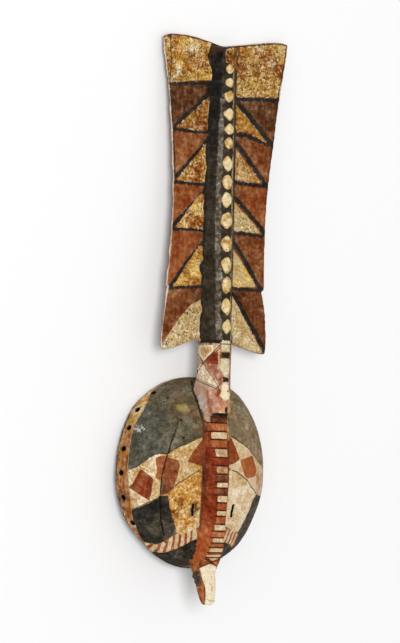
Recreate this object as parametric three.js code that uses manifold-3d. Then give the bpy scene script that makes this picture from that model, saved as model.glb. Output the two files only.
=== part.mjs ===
// A tall carved wooden plank mask, lying on its back.
//
// One block of light wood: a hollow convex face with a grooved centre ridge and a small beak,
// a short neck block with a projecting lip, and a tall flared plank with a raised centre ridge
// that carries a row of carved lozenges.
//
// The mask is first laid out "upright" with x across, y up the mask and z out of the face,
// the flat back of the rim in the plane z = 0. At the end it is leaned back by REST_LEAN so that
// the top of the rim and the top of the plank lie on the ground, as they do when it is put down.

import * as THREE from "three";
import { mergeVertices } from "three/addons/utils/BufferGeometryUtils.js";
import Module from "manifold-3d";

// ---- driving dimensions (mm) ----

// Face bowl
const FACE_HALF_WIDTH = 141;        // rim, measured from the centre line
const FACE_MID_Y = 3;               // height at which the rim is widest
const FACE_TOP = 171;               // rim above FACE_MID_Y
const FACE_BOTTOM = 158.5;          // rim below FACE_MID_Y
const FACE_ROUND_TOP = 2.27;        // roundness exponents of the two halves of the rim
const FACE_ROUND_BOTTOM = 1.87;
const FACE_DEPTH = 96;              // outer surface above the back of the rim
const FACE_BULGE = 2.4;             // how full the bowl is towards its edge
const FACE_EDGE = 1.85;             // how steeply it turns down to the rim
const WALL = 11;                    // carved wall of the bowl
const CHIN_SWAY = 7;                // the chin is carved a little to one side
const CHIN_Y = -64;                 // height at which that begins
const RIDGE_SWAY = 2.1;             // the ridge and the beak follow it less
const CROWN_SWAY = 5;               // so is the top of the rim
const CROWN_Y = 112;

// Eye slits
const EYE_X = 39.4;
const EYE_SHIFT = 2.8;              // both sit a little to one side
const EYE_Y = -53;
const EYE_LENGTH = 22;
const EYE_WIDTH = 4.0;

// Tie holes through the bare rim band
const TIE_HOLE_R = 4.4;
const TIE_HOLE_Z = 16;              // height above the back of the rim
const TIE_HOLE_HEIGHTS = [146, 115, 83, 46, 5, -37, -81];

// Face ridge
const RIDGE_ROOT_HALF = 27;
const RIDGE_FRONT_HALF = 12;
const RIDGE_FLANK = 25;             // drop from the front of the ridge to the skin of the bowl
const GROOVE = 2.6;                 // width of the grooves across the ridge
const GROOVE_DEPTH = 3.0;
const TOOTH_TOP_Y = 107;            // top edge of the first tooth
const TOOTH_PITCHES = [12.9, 14.6, 13.6, 14.8, 15.5, 13.3, 15.1, 12.9, 10.3, 12.0, 12.9, 12.9, 10.3, 13.1, 11.9, 11.2, 9.1, 7.6, 8.9, 8.4];

// Beak
const BEAK_TOP_Y = -144;
const BEAK_TIP_Y = -214;
const KNOB_COUNT = 3;

// Neck block
const NECK_LIP_Y = 112;             // underside of the projecting lip
const NECK_TOP_Y = 246;
const NECK_FRONT_Z = 114;
const NECK_BACK_HALF = 24;
const NECK_FRONT_HALF = 12.5;

// Plank
const PLANK_BACK_Z = 61;            // flat back of the centre of the plank
const PLANK_TOP_Y = 745;
const PLANK_STEP_Y = 325;           // small step in the outer edges
const PLANK_TIP_Y = 217;            // lower outer tips
const PLANK_WAIST_Y = 455;
// the two wings differ a little: half width at the waist, at the step, at the top, and how fast it flares
const WINGS = {
  left: { waist: 89.3, step: 92.8, top: 122.1, flare: 1.6, low: [[325, 89.5], [299, 93.2], [265, 97.4], [240, 98.8], [217, 98.8]] },
  right: { waist: 94.8, step: 98.4, top: 123.5, flare: 1.5, low: [[325, 92.5], [316, 95.3], [299, 100], [282, 103.1], [265, 104.8], [240, 106], [217, 104.5]] },
};
const PLANK_EDGE = 8.5;             // thickness at the outer edges
const POST_ROOT_HALF = 29;          // plank ridge where it meets the wings

// Carved lozenges on the plank ridge: centre heights
const LOZENGE_Y = [731, 719, 698, 676, 652, 622, 596, 572, 537, 506, 475, 440, 401, 365, 330, 294, 259];
const LOZENGE_HEIGHT = 3.6;
const LOZENGE_SHIFT = 3.5;          // the row sits a little to one side of the middle

const WOOD = { color: 0x8a4a30, roughness: 0.85, metalness: 0.0 };

// ---- helpers ----

const wasm = await Module();
wasm.setup();

function solid(geometry) {
  const g = geometry.index ? geometry.clone() : mergeVertices(geometry);
  for (const name of Object.keys(g.attributes)) if (name !== "position") g.deleteAttribute(name);
  const m = mergeVertices(g, 1e-3);
  return new wasm.Manifold(new wasm.Mesh({
    numProp: 3,
    vertProperties: new Float32Array(m.attributes.position.array),
    triVerts: new Uint32Array(m.index.array),
  }));
}

function reshape(geometry, map) {
  const p = geometry.attributes.position;
  const v = new THREE.Vector3();
  for (let i = 0; i < p.count; i++) {
    v.fromBufferAttribute(p, i);
    const w = map(v.x, v.y, v.z);
    p.setXYZ(i, w[0], w[1], w[2]);
  }
  return geometry;
}

// A box whose corners run from -1 to 1, bent by a function
const block = (nx, ny, nz, map) => solid(reshape(new THREE.BoxGeometry(2, 2, 2, nx, ny, nz), map));

const lerp = THREE.MathUtils.lerp;
const clamp = THREE.MathUtils.clamp;
const smooth = (t) => { const s = clamp(t, 0, 1); return s * s * (3 - 2 * s); };
const sway = (y) => CHIN_SWAY * smooth((CHIN_Y - y) / 60) + CROWN_SWAY * smooth((y - CROWN_Y) / 50);
const ridgeSway = (y) => RIDGE_SWAY * smooth((CHIN_Y - y) / 60);

// Straight-line profile through a few stations [y, value], y falling
function profile(stations) {
  return (y) => {
    if (y >= stations[0][0]) return stations[0][1];
    for (let i = 1; i < stations.length; i++) {
      const [y0, a] = stations[i - 1], [y1, b] = stations[i];
      if (y >= y1) return lerp(a, b, (y0 - y) / (y0 - y1));
    }
    return stations[stations.length - 1][1];
  };
}

// ---- face bowl ----

// Rim radius in the direction (c, s) from the middle of the rim
function rimRadius(c, s, inset) {
  const a = FACE_HALF_WIDTH - inset;
  const b = (s > 0 ? FACE_TOP : FACE_BOTTOM) - inset;
  const k = s > 0 ? FACE_ROUND_TOP : FACE_ROUND_BOTTOM;
  return (Math.abs(c / a) ** k + Math.abs(s / b) ** k) ** (-1 / k);
}

// Height of the outer skin of the bowl above the back of the rim
function skin(across, y, inset = 0) {
  const x = across - sway(y);
  const r = Math.hypot(x, y - FACE_MID_Y);
  if (r < 1e-6) return FACE_DEPTH - inset;
  const rho = r / rimRadius(x / r, (y - FACE_MID_Y) / r, inset);
  if (rho >= 1) return 0;
  return (FACE_DEPTH - inset) * (1 - rho ** FACE_BULGE) ** (1 / FACE_EDGE);
}

// A closed dome: a turned quarter round stretched onto the rim outline
function dome(inset, floor, rings, segments) {
  const pts = [new THREE.Vector2(0, floor)];
  pts.push(new THREE.Vector2(1, floor));
  for (let i = 0; i <= rings; i++) {
    const t = (i / rings) * Math.PI / 2;
    pts.push(new THREE.Vector2(Math.cos(t) ** (2 / FACE_BULGE), Math.sin(t) ** (2 / FACE_EDGE)));
  }
  pts[pts.length - 1].x = 0;
  if (floor === 0) pts.splice(2, 1);
  const g = new THREE.LatheGeometry(pts, segments);
  return solid(reshape(g, (x, h, z) => {
    const rho = Math.hypot(x, z);
    const c = rho > 1e-9 ? x / rho : 1, s = rho > 1e-9 ? -z / rho : 0;
    const r = rho * rimRadius(c, s, inset);
    const y = FACE_MID_Y + r * s;
    return [r * c + sway(y), y, h > 0 ? h * (FACE_DEPTH - inset) : h];
  }));
}

const hollow = dome(WALL, -4, 11, 60);
let mask = dome(0, 0, 13, 72);

// ---- face ridge with grooves across its front ----

const ridgeFront = profile([[140, 100], [107, 106], [66, 109], [41, 113.5], [0, 119], [-35, 119], [-86, 115], [-120, 103.5], [-150, 84]]);
const ridgeHalf = profile([[107, 13.5], [60, RIDGE_FRONT_HALF], [-86, RIDGE_FRONT_HALF], [-135, 16.5], [-150, 17]]);
const ridgeRoot = profile([[120, 20], [90, 24], [60, RIDGE_ROOT_HALF], [-100, RIDGE_ROOT_HALF], [-150, 20]]);

// The heights of the groove edges, from the top down
const cuts = [TOOTH_TOP_Y];
let toothY = TOOTH_TOP_Y;
for (const pitch of TOOTH_PITCHES) {
  toothY -= pitch;
  cuts.push(toothY + GROOVE, toothY);
}

const ridgeStations = [118];
for (let i = 0; i < cuts.length; i++) ridgeStations.push(cuts[i]);
ridgeStations.push(-150);
const ridgeSteps = ridgeStations.length - 1;
mask = mask.add(block(4, ridgeSteps, 3, (u, v, w) => {
  const i = Math.round((1 - v) / 2 * ridgeSteps);
  const y = ridgeStations[i];
  const zf = ridgeFront(y), xf = ridgeHalf(y), xr = ridgeRoot(y);
  // w = 1 front, 1/3 just under the skin at the foot of the flank, below that into the wall
  const foot = Math.min(skin(xr, y), skin(-xr, y)), under = Math.min(4, Math.max(foot - 4, 0));
  const spread = (xr - xf) / Math.max(zf - foot, 6) * under;
  const deep = Math.max(skin(0, y) - WALL + 3, 8);
  const aside = ridgeSway(y);
  if (w > 0.9) return [aside + u * xf, y, zf];
  if (w > 0) return [aside + u * (xr + spread), y, foot - under];
  if (w > -0.9) return [aside + u * (xr - 2), y, Math.min(foot - under - 2, lerp(foot, deep, 0.5))];
  return [aside + u * (xr - 6), y, Math.min(foot - under - 4, deep)];
}));

// Grooves: thin wedges taken out across the front
for (let i = 1; i < cuts.length; i += 2) {
  const top = cuts[i], low = cuts[i + 1], mid = (top + low) / 2;
  const slope = (ridgeFront(mid + 4) - ridgeFront(mid - 4)) / 8;
  mask = mask.subtract(block(1, 1, 1, (u, v, w) => {
    const y = mid + v * (w > 0 ? GROOVE * 0.5 : GROOVE * 0.32);
    const z = ridgeFront(mid) + (y - mid) * slope + (w > 0 ? 4 : -GROOVE_DEPTH);
    return [u * 22, y, z];
  }));
}

// ---- beak ----

const beakFront = profile([[-140, 90], [-151, 83], [-161, 84], [-179, 91], [-206, 93], [-214, 90]]);
const beakBack = profile([[-140, 34], [-158, 40], [-180, 50], [-190, 54], [-198, 59], [-207, 64], [-214, 70]]);
const beakHalf = profile([[-140, 17], [-151, 17], [-161, 14], [-179, 11.2], [-206, 9.5], [-214, 7.5]]);
const beakSteps = 14;
mask = mask.add(block(4, beakSteps, 4, (u, v, w) => {
  const y = lerp(BEAK_TIP_Y, BEAK_TOP_Y + 4, (v + 1) / 2);
  const front = beakFront(y), back = beakBack(y), half = beakHalf(y);
  const round = 1 - 0.35 * Math.max(0, -w) ** 2 - 0.08 * Math.max(0, w) ** 4;
  const crown = (w > 0.9 ? 1.6 : 0) * (1 - u * u);
  return [RIDGE_SWAY + u * half * round, y, lerp(back, front, (w + 1) / 2) + crown];
}));

// Slanted knobs at the back of the beak, on both sides
for (let i = 0; i < KNOB_COUNT; i++) {
  for (const side of [-1, 1]) {
    const knob = new THREE.SphereGeometry(1, 10, 6);
    knob.scale(5.5, 4.9, 15 - 2.5 * i);
    knob.rotateX(-0.45);
    knob.translate(RIDGE_SWAY + side * (11.2 - 0.9 * i), -163 - 9.2 * i, 60 + 4 * i);
    mask = mask.add(solid(knob));
  }
}

// ---- plank ----

const wingLow = { left: profile(WINGS.left.low), right: profile(WINGS.right.low) };
function plankHalf(y, side) {
  const name = side < 0 ? "left" : "right", wing = WINGS[name];
  if (y < PLANK_STEP_Y) return wingLow[name](y);
  if (y < PLANK_WAIST_Y) return wing.waist + (wing.step - wing.waist) * ((PLANK_WAIST_Y - y) / (PLANK_WAIST_Y - PLANK_STEP_Y)) ** 2;
  return wing.waist + (wing.top - wing.waist) * ((y - PLANK_WAIST_Y) / (PLANK_TOP_Y - PLANK_WAIST_Y)) ** wing.flare;
}

const along = (y) => clamp((y - PLANK_TIP_Y) / (PLANK_TOP_Y - PLANK_TIP_Y), 0, 1);
const rootFrontZ = (y) => lerp(79, 73.5, along(y));
const edgeFrontZ = (y) => lerp(71, 80, smooth(along(y) * 1.15));

function plankPoint(u, y, front, widthY = y) {
  const half = plankHalf(widthY, u), x = u * half, out = clamp((Math.abs(x) - POST_ROOT_HALF) / (half - POST_ROOT_HALF), 0, 1);
  const zf = lerp(rootFrontZ(y), edgeFrontZ(y), out);
  const zb = lerp(PLANK_BACK_Z, edgeFrontZ(y) - PLANK_EDGE, out);
  return [x, y, front ? zf : zb];
}

// The top edge dips to the middle and is a little lower again at the corners; u runs from -1 to 1
const across = (stations) => { const f = profile(stations.map(([u, y]) => [-u, y])); return (u) => f(-u); };
const topEdge = across([[-1, 746], [-0.93, 750.3], [-0.82, 752.1], [-0.62, 752.2], [-0.44, 750], [-0.24, 745.8], [0, 738.5], [0.24, 744], [0.44, 748], [0.62, 751.2], [0.82, 754], [0.93, 754], [1, 751.5]]);
// The bottom edges rise to the middle
const bottomEdge = across([[-1, 217], [-0.93, 216.2], [-0.82, 219], [-0.62, 226], [-0.44, 234.7], [-0.3, 239.5], [0, 240], [0.3, 236], [0.44, 230.3], [0.62, 223.3], [0.82, 217.9], [0.93, 217.2], [1, 217]]);

// Cross positions: edge, four across each wing, the feet of the ridge
const plankCols = [-1, -0.93, -0.82, -0.62, -0.44, -0.3, 0, 0.3, 0.44, 0.62, 0.82, 0.93, 1];
const upperRows = 12, lowerRows = 6;
const column = (u, y) => {
  const i = Math.round((u + 1) / 2 * (plankCols.length - 1));
  const c = plankCols[i];
  return Math.abs(Math.abs(c) - 0.3) < 1e-6 ? Math.sign(c) * POST_ROOT_HALF / plankHalf(y, c) : c;
};
mask = mask.add(block(plankCols.length - 1, upperRows, 1, (u, v, w) => {
  const t = (v + 1) / 2;
  const c = column(u, lerp(PLANK_STEP_Y, PLANK_TOP_Y, t));
  const y = lerp(PLANK_STEP_Y, topEdge(c), t);
  return plankPoint(c, y, w > 0);
}));
mask = mask.add(block(plankCols.length - 1, lowerRows, 1, (u, v, w) => {
  const t = (v + 1) / 2;
  const c = column(u, lerp(PLANK_TIP_Y, PLANK_STEP_Y - 0.01, t));
  const y = lerp(bottomEdge(c), PLANK_STEP_Y + 0.3, t);
  return plankPoint(c, y, w > 0, Math.min(y, PLANK_STEP_Y - 0.01));
}));

// ---- plank ridge and neck block ----

const postFront = profile([[740, 90], [600, 93], [550, 91], [500, 92], [417, 95], [364, 98.5], [326, 101.5], [287, 104], [240, 107.5]]);
const postHalf = profile([[740, 10], [680, 11], [598, 13.5], [503, 15.8], [417, 16.2], [326, 14.5], [240, 14.2]]);
const postRoot = profile([[740, 26], [640, 25.5], [550, 28], [500, 29], [240, 30]]);
const postSteps = 14;
mask = mask.add(block(4, postSteps, 2, (u, v, w) => {
  let y = lerp(232, 740, (v + 1) / 2);
  const front = postFront(y), half = postHalf(y), root = postRoot(y);
  if (w > 0.5) {
    // the left edge of the front is worn to a bevel
    const worn = u < -0.9 ? 2.2 : 0;
    if (v > 0.99) y -= 3.5;
    return [u * half, y, front - worn];
  }
  // the flanks run on a little below the face of the wings
  const under = 5, spread = (root - half) / (front - rootFrontZ(y)) * under;
  if (w > -0.5) return [u * (root + spread), y, rootFrontZ(y) - under];
  return [u * (root - 1), y, PLANK_BACK_Z + 3];
}));

// Neck: wider at the back, bevelled in two steps to the front, ending below in a lip
const neckFront = profile([[246, 107], [230, 110], [200, 112], [150, NECK_FRONT_Z], [128, 119], [112, 121]]);
const neckMid = profile([[246, 26], [200, 22.5], [140, 21], [112, 19]]);
const neckBackHalf = profile([[246, 28], [232, NECK_BACK_HALF + 1], [176, NECK_BACK_HALF], [152, 23.5], [126, 25], [106, 21], [90, 14]]);
const neckSteps = 12;
mask = mask.add(block(4, neckSteps, 3, (u, v, w) => {
  const y = lerp(NECK_LIP_Y, NECK_TOP_Y, (v + 1) / 2);
  const half = neckBackHalf(y), mid = lerp(88, 93, clamp((y - 112) / 60, 0, 1));
  const lip = y < 140 ? (140 - y) / 28 : 0;
  // above the bowl the back is flat with the plank and overhangs the rim, below it the flanks run into the bowl
  const back = y > 152 ? lerp(48, PLANK_BACK_Z, clamp((y - 152) / 24, 0, 1)) : Math.max(skin(half, y) - 5, 44);
  if (w > 0.9) return [u * (NECK_FRONT_HALF - 1.5 * lip), y, neckFront(y)];
  if (w > 0) return [u * neckMid(y), y, mid];
  if (w > -0.9) return [u * lerp(half, neckMid(y), 0.25), y, lerp(back, mid, 0.25)];
  return [u * half, y, back];
}));
// The flanks of the neck run on below the lip and die into the bowl
mask = mask.add(block(2, 4, 1, (u, v, w) => {
  const y = lerp(88, NECK_LIP_Y + 4, (v + 1) / 2);
  const half = lerp(12, 20.5, (v + 1) / 2);
  return [u * (w > 0 ? Math.min(half, 14.5) : half), y, w > 0 ? lerp(98, 103, (v + 1) / 2) : skin(0, y) - 8];
}));
// A dark slot across the front of the neck
mask = mask.subtract(block(1, 1, 1, (u, v, w) => [u * 30, 212.5 + v * 3.6 + (w > 0 ? 0 : 0.6 * v), w > 0 ? 125 : 107.5]));
mask = mask.subtract(block(1, 1, 1, (u, v, w) => [u * 30, 168 + v * 2.2, w > 0 ? 125 : 110.5]));

// ---- carved lozenges ----

function lozenge(y, z, halfWide, halfTall, height, x, lean) {
  const g = new THREE.SphereGeometry(1, 8, 4, 0, Math.PI * 2, 0, Math.PI);
  reshape(g, (a, b, c) => {
    const e = 0.8;
    const sx = Math.sign(a) * Math.abs(a) ** e, sy = Math.sign(b) * Math.abs(b) ** e;
    return [x + sx * halfWide, y + sy * halfTall, z + c * height + (sy * halfTall) * lean];
  });
  return solid(g);
}
for (let i = 0; i < LOZENGE_Y.length; i++) {
  const y = LOZENGE_Y[i];
  const up = i > 0 ? LOZENGE_Y[i - 1] - y : 20, down = i < LOZENGE_Y.length - 1 ? y - LOZENGE_Y[i + 1] : 32;
  const tall = clamp(0.46 * Math.min(up, down), 5.5, 16);
  const wide = clamp(postHalf(y) - LOZENGE_SHIFT - 0.5, 6.5, 11);
  mask = mask.add(lozenge(y, postFront(y) - 0.5, wide, tall, LOZENGE_HEIGHT + 0.5, LOZENGE_SHIFT, 0));
}
// Three large ones on the neck
mask = mask.add(lozenge(229, 110, 11, 12, 5, 1.5, 0));
mask = mask.add(lozenge(189, 112.5, 11, 17, 5, 2, 0));
mask = mask.add(lozenge(149, 115, 10.5, 15, 6.5, 1.5, -0.05));

// ---- openings ----

mask = mask.subtract(hollow);

for (const side of [-1, 1]) {
  // eye slit: a long pointed oval cut straight through
  const eye = new THREE.Shape();
  const steps = 5;
  for (let i = 0; i < 2 * steps; i++) {
    const t = (i / (2 * steps)) * Math.PI * 2;
    const px = Math.cos(t) * EYE_WIDTH / 2, py = Math.sign(Math.sin(t)) * Math.abs(Math.sin(t)) ** 0.8 * EYE_LENGTH / 2;
    if (i === 0) eye.moveTo(px, py); else eye.lineTo(px, py);
  }
  const cut = new THREE.ExtrudeGeometry(eye, { depth: 60, bevelEnabled: false, steps: 1 });
  cut.translate(EYE_SHIFT + side * EYE_X, EYE_Y, 55);
  mask = mask.subtract(solid(cut));

  // tie holes, square to the edge of the rim
  for (const y of TIE_HOLE_HEIGHTS) {
    const s = y - FACE_MID_Y, b = s > 0 ? FACE_TOP : FACE_BOTTOM, k = s > 0 ? FACE_ROUND_TOP : FACE_ROUND_BOTTOM;
    const x = FACE_HALF_WIDTH * (1 - Math.abs(s / b) ** k) ** (1 / k);
    const nx = (x / FACE_HALF_WIDTH) ** (k - 1) / FACE_HALF_WIDTH;
    const ny = Math.sign(s) * (Math.abs(s) / b) ** (k - 1) / b;
    // the three holes nearest the middle run straight across, the rest square to the edge
    const turn = Math.abs(s) < 50 ? 0 : Math.atan2(ny, nx);
    const hole = new THREE.CylinderGeometry(TIE_HOLE_R, TIE_HOLE_R, 60, 8);
    hole.rotateY(Math.PI / 8);
    hole.rotateZ(-Math.PI / 2 + turn);
    if (side < 0) hole.rotateY(Math.PI);
    hole.translate(side * x + sway(y), y, TIE_HOLE_Z);
    mask = mask.subtract(solid(hole));
  }
}

// ---- lay it down ----

// Leaned back until the top of the rim and the top of the plank's back touch the ground
const rimTopY = FACE_MID_Y + FACE_TOP;
const plankTopY = topEdge(0);
const REST_LEAN = Math.atan2(PLANK_BACK_Z, plankTopY - rimTopY);
const GROUND_FLAT = 0.6;            // worn flats where it touches the ground

function layDown(x, y, z) {
  const c = Math.cos(REST_LEAN), s = Math.sin(REST_LEAN);
  return [x, (y - rimTopY) * c + z * s, z * c - (y - rimTopY) * s - GROUND_FLAT];
}

const raw = mask.getMesh();
const upright = new THREE.BufferGeometry();
upright.setAttribute("position", new THREE.BufferAttribute(new Float32Array(raw.vertProperties), 3));
upright.setIndex(new THREE.BufferAttribute(new Uint32Array(raw.triVerts), 1));
let lying = solid(reshape(upright, layDown));
lying = lying.subtract(block(1, 1, 1, (u, v, w) => [u * 400, v * 1200, w > 0 ? 0 : -50]));

// Origin under the middle of the box
const box = lying.boundingBox();
const midX = (box.min[0] + box.max[0]) / 2, midY = (box.min[1] + box.max[1]) / 2;

const out = lying.getMesh();
const geometry = new THREE.BufferGeometry();
geometry.setAttribute("position", new THREE.BufferAttribute(new Float32Array(out.vertProperties), 3));
geometry.setIndex(new THREE.BufferAttribute(new Uint32Array(out.triVerts), 1));
geometry.translate(-midX, -midY, 0);
geometry.computeVertexNormals();

const mesh = new THREE.Mesh(geometry, new THREE.MeshStandardMaterial(WOOD));
mesh.name = "mask";
const group = new THREE.Group();
group.name = "plank_mask";
group.add(mesh);

export default group;
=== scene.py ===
import math

import bmesh
import bpy
import numpy as np
from mathutils import Matrix, Vector


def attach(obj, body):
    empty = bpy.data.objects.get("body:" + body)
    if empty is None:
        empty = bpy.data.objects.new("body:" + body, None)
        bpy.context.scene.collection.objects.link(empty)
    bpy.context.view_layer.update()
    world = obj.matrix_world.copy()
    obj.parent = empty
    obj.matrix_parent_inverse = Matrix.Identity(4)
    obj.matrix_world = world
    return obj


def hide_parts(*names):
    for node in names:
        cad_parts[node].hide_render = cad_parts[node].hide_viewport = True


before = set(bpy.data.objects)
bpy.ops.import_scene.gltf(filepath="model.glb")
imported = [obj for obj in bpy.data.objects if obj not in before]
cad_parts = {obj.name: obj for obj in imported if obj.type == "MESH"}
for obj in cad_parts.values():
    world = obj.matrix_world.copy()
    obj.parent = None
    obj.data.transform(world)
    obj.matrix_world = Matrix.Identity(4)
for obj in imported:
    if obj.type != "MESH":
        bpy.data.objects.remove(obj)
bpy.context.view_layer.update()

# A tall painted wooden plank mask, lying on its back on a pale floor.
# Painted areas are laid out in millimetres in an "upright" frame: x across, y up the mask,
# z out of the face, the back of the rim in the plane z = 0. The whole mask is leaned back by
# REST_LEAN to lie on the ground.

# ------------------------------------------------------------------ frames

RIM_TOP = 174.0
REST_LEAN = math.atan2(61.0, 738.5 - RIM_TOP)
GROUND_FLAT = 0.6
MID_Y = 103.470138
LC, LS = math.cos(REST_LEAN), math.sin(REST_LEAN)


def to_upright(p):
    """Metres in the lying frame to millimetres in the upright frame."""
    x, y, z = p[:, 0] * 1000, p[:, 1] * 1000 + MID_Y, p[:, 2] * 1000 + GROUND_FLAT
    return np.stack([x, RIM_TOP + y * LC - z * LS, y * LS + z * LC], 1)


def to_lying(p):
    x, y, z = p[:, 0], p[:, 1] - RIM_TOP, p[:, 2]
    return np.stack([x, y * LC + z * LS - MID_Y, z * LC - y * LS - GROUND_FLAT], 1) / 1000


# ------------------------------------------------------------------ small numeric tools

def profile(stations):
    ys = np.array([s[0] for s in stations][::-1], float)
    vs = np.array([s[1] for s in stations][::-1], float)
    return lambda y: np.interp(y, ys, vs)


def smooth(t):
    t = np.clip(t, 0, 1)
    return t * t * (3 - 2 * t)


def lattice(ix, iy, iz, seed):
    with np.errstate(over="ignore"):
        h = (ix.astype(np.uint32) * np.uint32(374761393)) ^ (iy.astype(np.uint32) * np.uint32(668265263)) \
            ^ (iz.astype(np.uint32) * np.uint32(2246822519)) ^ np.uint32((seed * 2654435761) & 0xFFFFFFFF)
        h = (h ^ (h >> np.uint32(13))) * np.uint32(1274126177)
        h = (h ^ (h >> np.uint32(15))) * np.uint32(2246822519)
        h = h ^ (h >> np.uint32(16))
    return h.astype(np.float64) / 2147483647.5 - 1


def noise(p, size, seed, octaves=1):
    """Smooth noise from -1 to 1. size is the feature size in mm, one number or one for each axis."""
    total, weight, out = 0.0, 1.0, 0.0
    for o in range(octaves):
        q = p / (np.asarray(size, float) / 2 ** o) + 57.3 * o
        i = np.floor(q).astype(np.int64)
        f = q - i
        f = f * f * f * (f * (f * 6 - 15) + 10)
        v = 0.0
        for dx in (0, 1):
            for dy in (0, 1):
                for dz in (0, 1):
                    w = (f[:, 0] if dx else 1 - f[:, 0]) * (f[:, 1] if dy else 1 - f[:, 1]) * (f[:, 2] if dz else 1 - f[:, 2])
                    v = v + w * lattice(i[:, 0] + dx, i[:, 1] + dy, i[:, 2] + dz, seed + o)
        out = out + v * weight
        total += weight
        weight *= 0.5
    return out / total * 1.6


def scallops(p, size, seed):
    """Distance to the nearest of a set of scattered cell centres, in cell sizes: the hollows left by a small adze."""
    q = p / np.asarray(size, float)
    i = np.floor(q).astype(np.int64)
    best = np.full(len(p), 9.0)
    for dx in (-1, 0, 1):
        for dy in (-1, 0, 1):
            for dz in (-1, 0, 1):
                c = i + (dx, dy, dz)
                off = np.stack([lattice(c[:, 0], c[:, 1], c[:, 2], seed + k) for k in (11, 12, 13)], 1) * 0.42 + 0.5
                best = np.minimum(best, ((c + off - q) ** 2).sum(1))
    return np.sqrt(best)


def area(p, outline):
    """Signed distance in mm to a closed outline, positive inside."""
    pts = np.asarray(outline, float)
    d2 = np.full(len(p), 1e9)
    odd = np.zeros(len(p), bool)
    for a, b in zip(pts, np.roll(pts, -1, 0)):
        e, w = b - a, p - a
        t = np.clip((w @ e) / max(e @ e, 1e-9), 0, 1)
        q = w - t[:, None] * e
        d2 = np.minimum(d2, (q * q).sum(1))
        if a[1] != b[1]:
            cross = (a[1] > p[:, 1]) != (b[1] > p[:, 1])
            xs = (b[0] - a[0]) * (p[:, 1] - a[1]) / (b[1] - a[1]) + a[0]
            odd ^= cross & (p[:, 0] < xs)
    return np.where(odd, 1, -1) * np.sqrt(d2)


def band(p, points, half):
    """Signed distance to a stripe of a given half width along a line, positive inside."""
    return half - stroke(p, points)[1]


def stroke(p, points):
    """(signed offset across, plain distance) to a line through points."""
    best = np.full(len(p), 1e9)
    side = np.full(len(p), 1e9)
    pts = np.asarray(points, float)
    for a, b in zip(pts[:-1], pts[1:]):
        e, w = b - a, p - a
        t = np.clip((w @ e) / max(e @ e, 1e-9), 0, 1)
        q = w - t[:, None] * e
        d = np.sqrt((q * q).sum(1))
        s = (e[0] * w[:, 1] - e[1] * w[:, 0]) / math.sqrt(e @ e)
        near = d < best
        side = np.where(near, s, side)
        best = np.where(near, d, best)
    return side, best


# ------------------------------------------------------------------ the carved form, repeated from the solid

FACE_HALF, FACE_MID, FACE_TOP, FACE_BOTTOM = 141.0, 3.0, 171.0, 158.5
ROUND_TOP, ROUND_BOTTOM = 2.27, 1.87
FACE_DEPTH, FACE_BULGE, FACE_EDGE, WALL = 96.0, 2.4, 1.85, 11.0


def sway(y):
    """The bowl leans a little to the right above and below."""
    return 7 * smooth((-64 - y) / 60) + 5 * smooth((y - 112) / 50)


def ridge_sway(y):
    return 2.1 * smooth((-64 - y) / 60)


def skin(x, y, inset=0.0):
    x = x - sway(y)
    up = y > FACE_MID
    k = np.where(up, ROUND_TOP, ROUND_BOTTOM)
    b = np.where(up, FACE_TOP, FACE_BOTTOM) - inset
    rho = (np.abs(x / (FACE_HALF - inset)) ** k + np.abs((y - FACE_MID) / b) ** k) ** (1 / k)
    return (FACE_DEPTH - inset) * (1 - np.minimum(rho, 1) ** FACE_BULGE) ** (1 / FACE_EDGE)


ridge_front = profile([[140, 100], [107, 106], [66, 109], [41, 113.5], [0, 119], [-35, 119], [-86, 115], [-120, 103.5], [-150, 84]])
ridge_half = profile([[107, 13.5], [60, 12], [-86, 12], [-135, 16.5], [-150, 17]])
ridge_root = profile([[120, 20], [90, 24], [60, 27], [-100, 27], [-150, 20]])
root_paint = profile([[120, 20], [90, 23], [60, 26], [14, 26.2], [-47, 25.2], [-85, 23.0], [-105, 22.0], [-121, 20.0], [-139, 17.2], [-150, 15.5]])
post_front = profile([[740, 90], [600, 93], [550, 91], [500, 92], [417, 95], [364, 98.5], [326, 101.5], [287, 104], [240, 107.5]])
post_half = profile([[740, 10], [680, 11], [598, 13.5], [503, 15.8], [417, 16.2], [326, 14.5], [240, 14.2]])
post_root = profile([[740, 26], [640, 25.5], [550, 28], [500, 29], [240, 30]])
neck_back = profile([[246, 28], [232, 25], [176, 24], [152, 23.5], [126, 25], [106, 21], [90, 14]])
beak_front = profile([[-140, 90], [-151, 83], [-161, 84], [-179, 91], [-206, 93], [-214, 90]])

TOOTH_TOP, GROOVE = 107.0, 2.6
TOOTH_PITCHES = [12.9, 14.6, 13.6, 14.8, 15.5, 13.3, 15.1, 12.9, 10.3, 12.0, 12.9, 12.9, 10.3, 13.1, 11.9, 11.2, 9.1, 7.6, 8.9, 8.4]
LOZENGE_Y = [731, 719, 698, 676, 652, 622, 596, 572, 537, 506, 475, 440, 401, 365, 330, 294, 259]
LOZENGE_SHIFT = 3.5
HOLE_Y, HOLE_Z = [146, 115, 83, 46, 5, -37, -81], 16.0


def plank_half(y, side):
    """Half width of the plank, to its left (side below 0) or its right."""
    def half(waist, step, top, flare, low):
        mid = waist + (step - waist) * (np.clip(455 - y, 0, None) / 130) ** 2
        high = waist + (top - waist) * (np.clip(y - 455, 0, None) / 290) ** flare
        return np.where(y < 325, profile(low)(y), np.where(y < 455, mid, high))
    left = half(89.3, 92.8, 122.1, 1.6, [[325, 89.5], [299, 93.2], [265, 97.4], [240, 98.8], [217, 98.8]])
    right = half(94.8, 98.4, 123.5, 1.5, [[325, 92.5], [316, 95.3], [299, 100], [282, 103.1], [265, 104.8], [240, 106], [217, 104.5]])
    return np.where(np.asarray(side) < 0, left, right)


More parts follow.
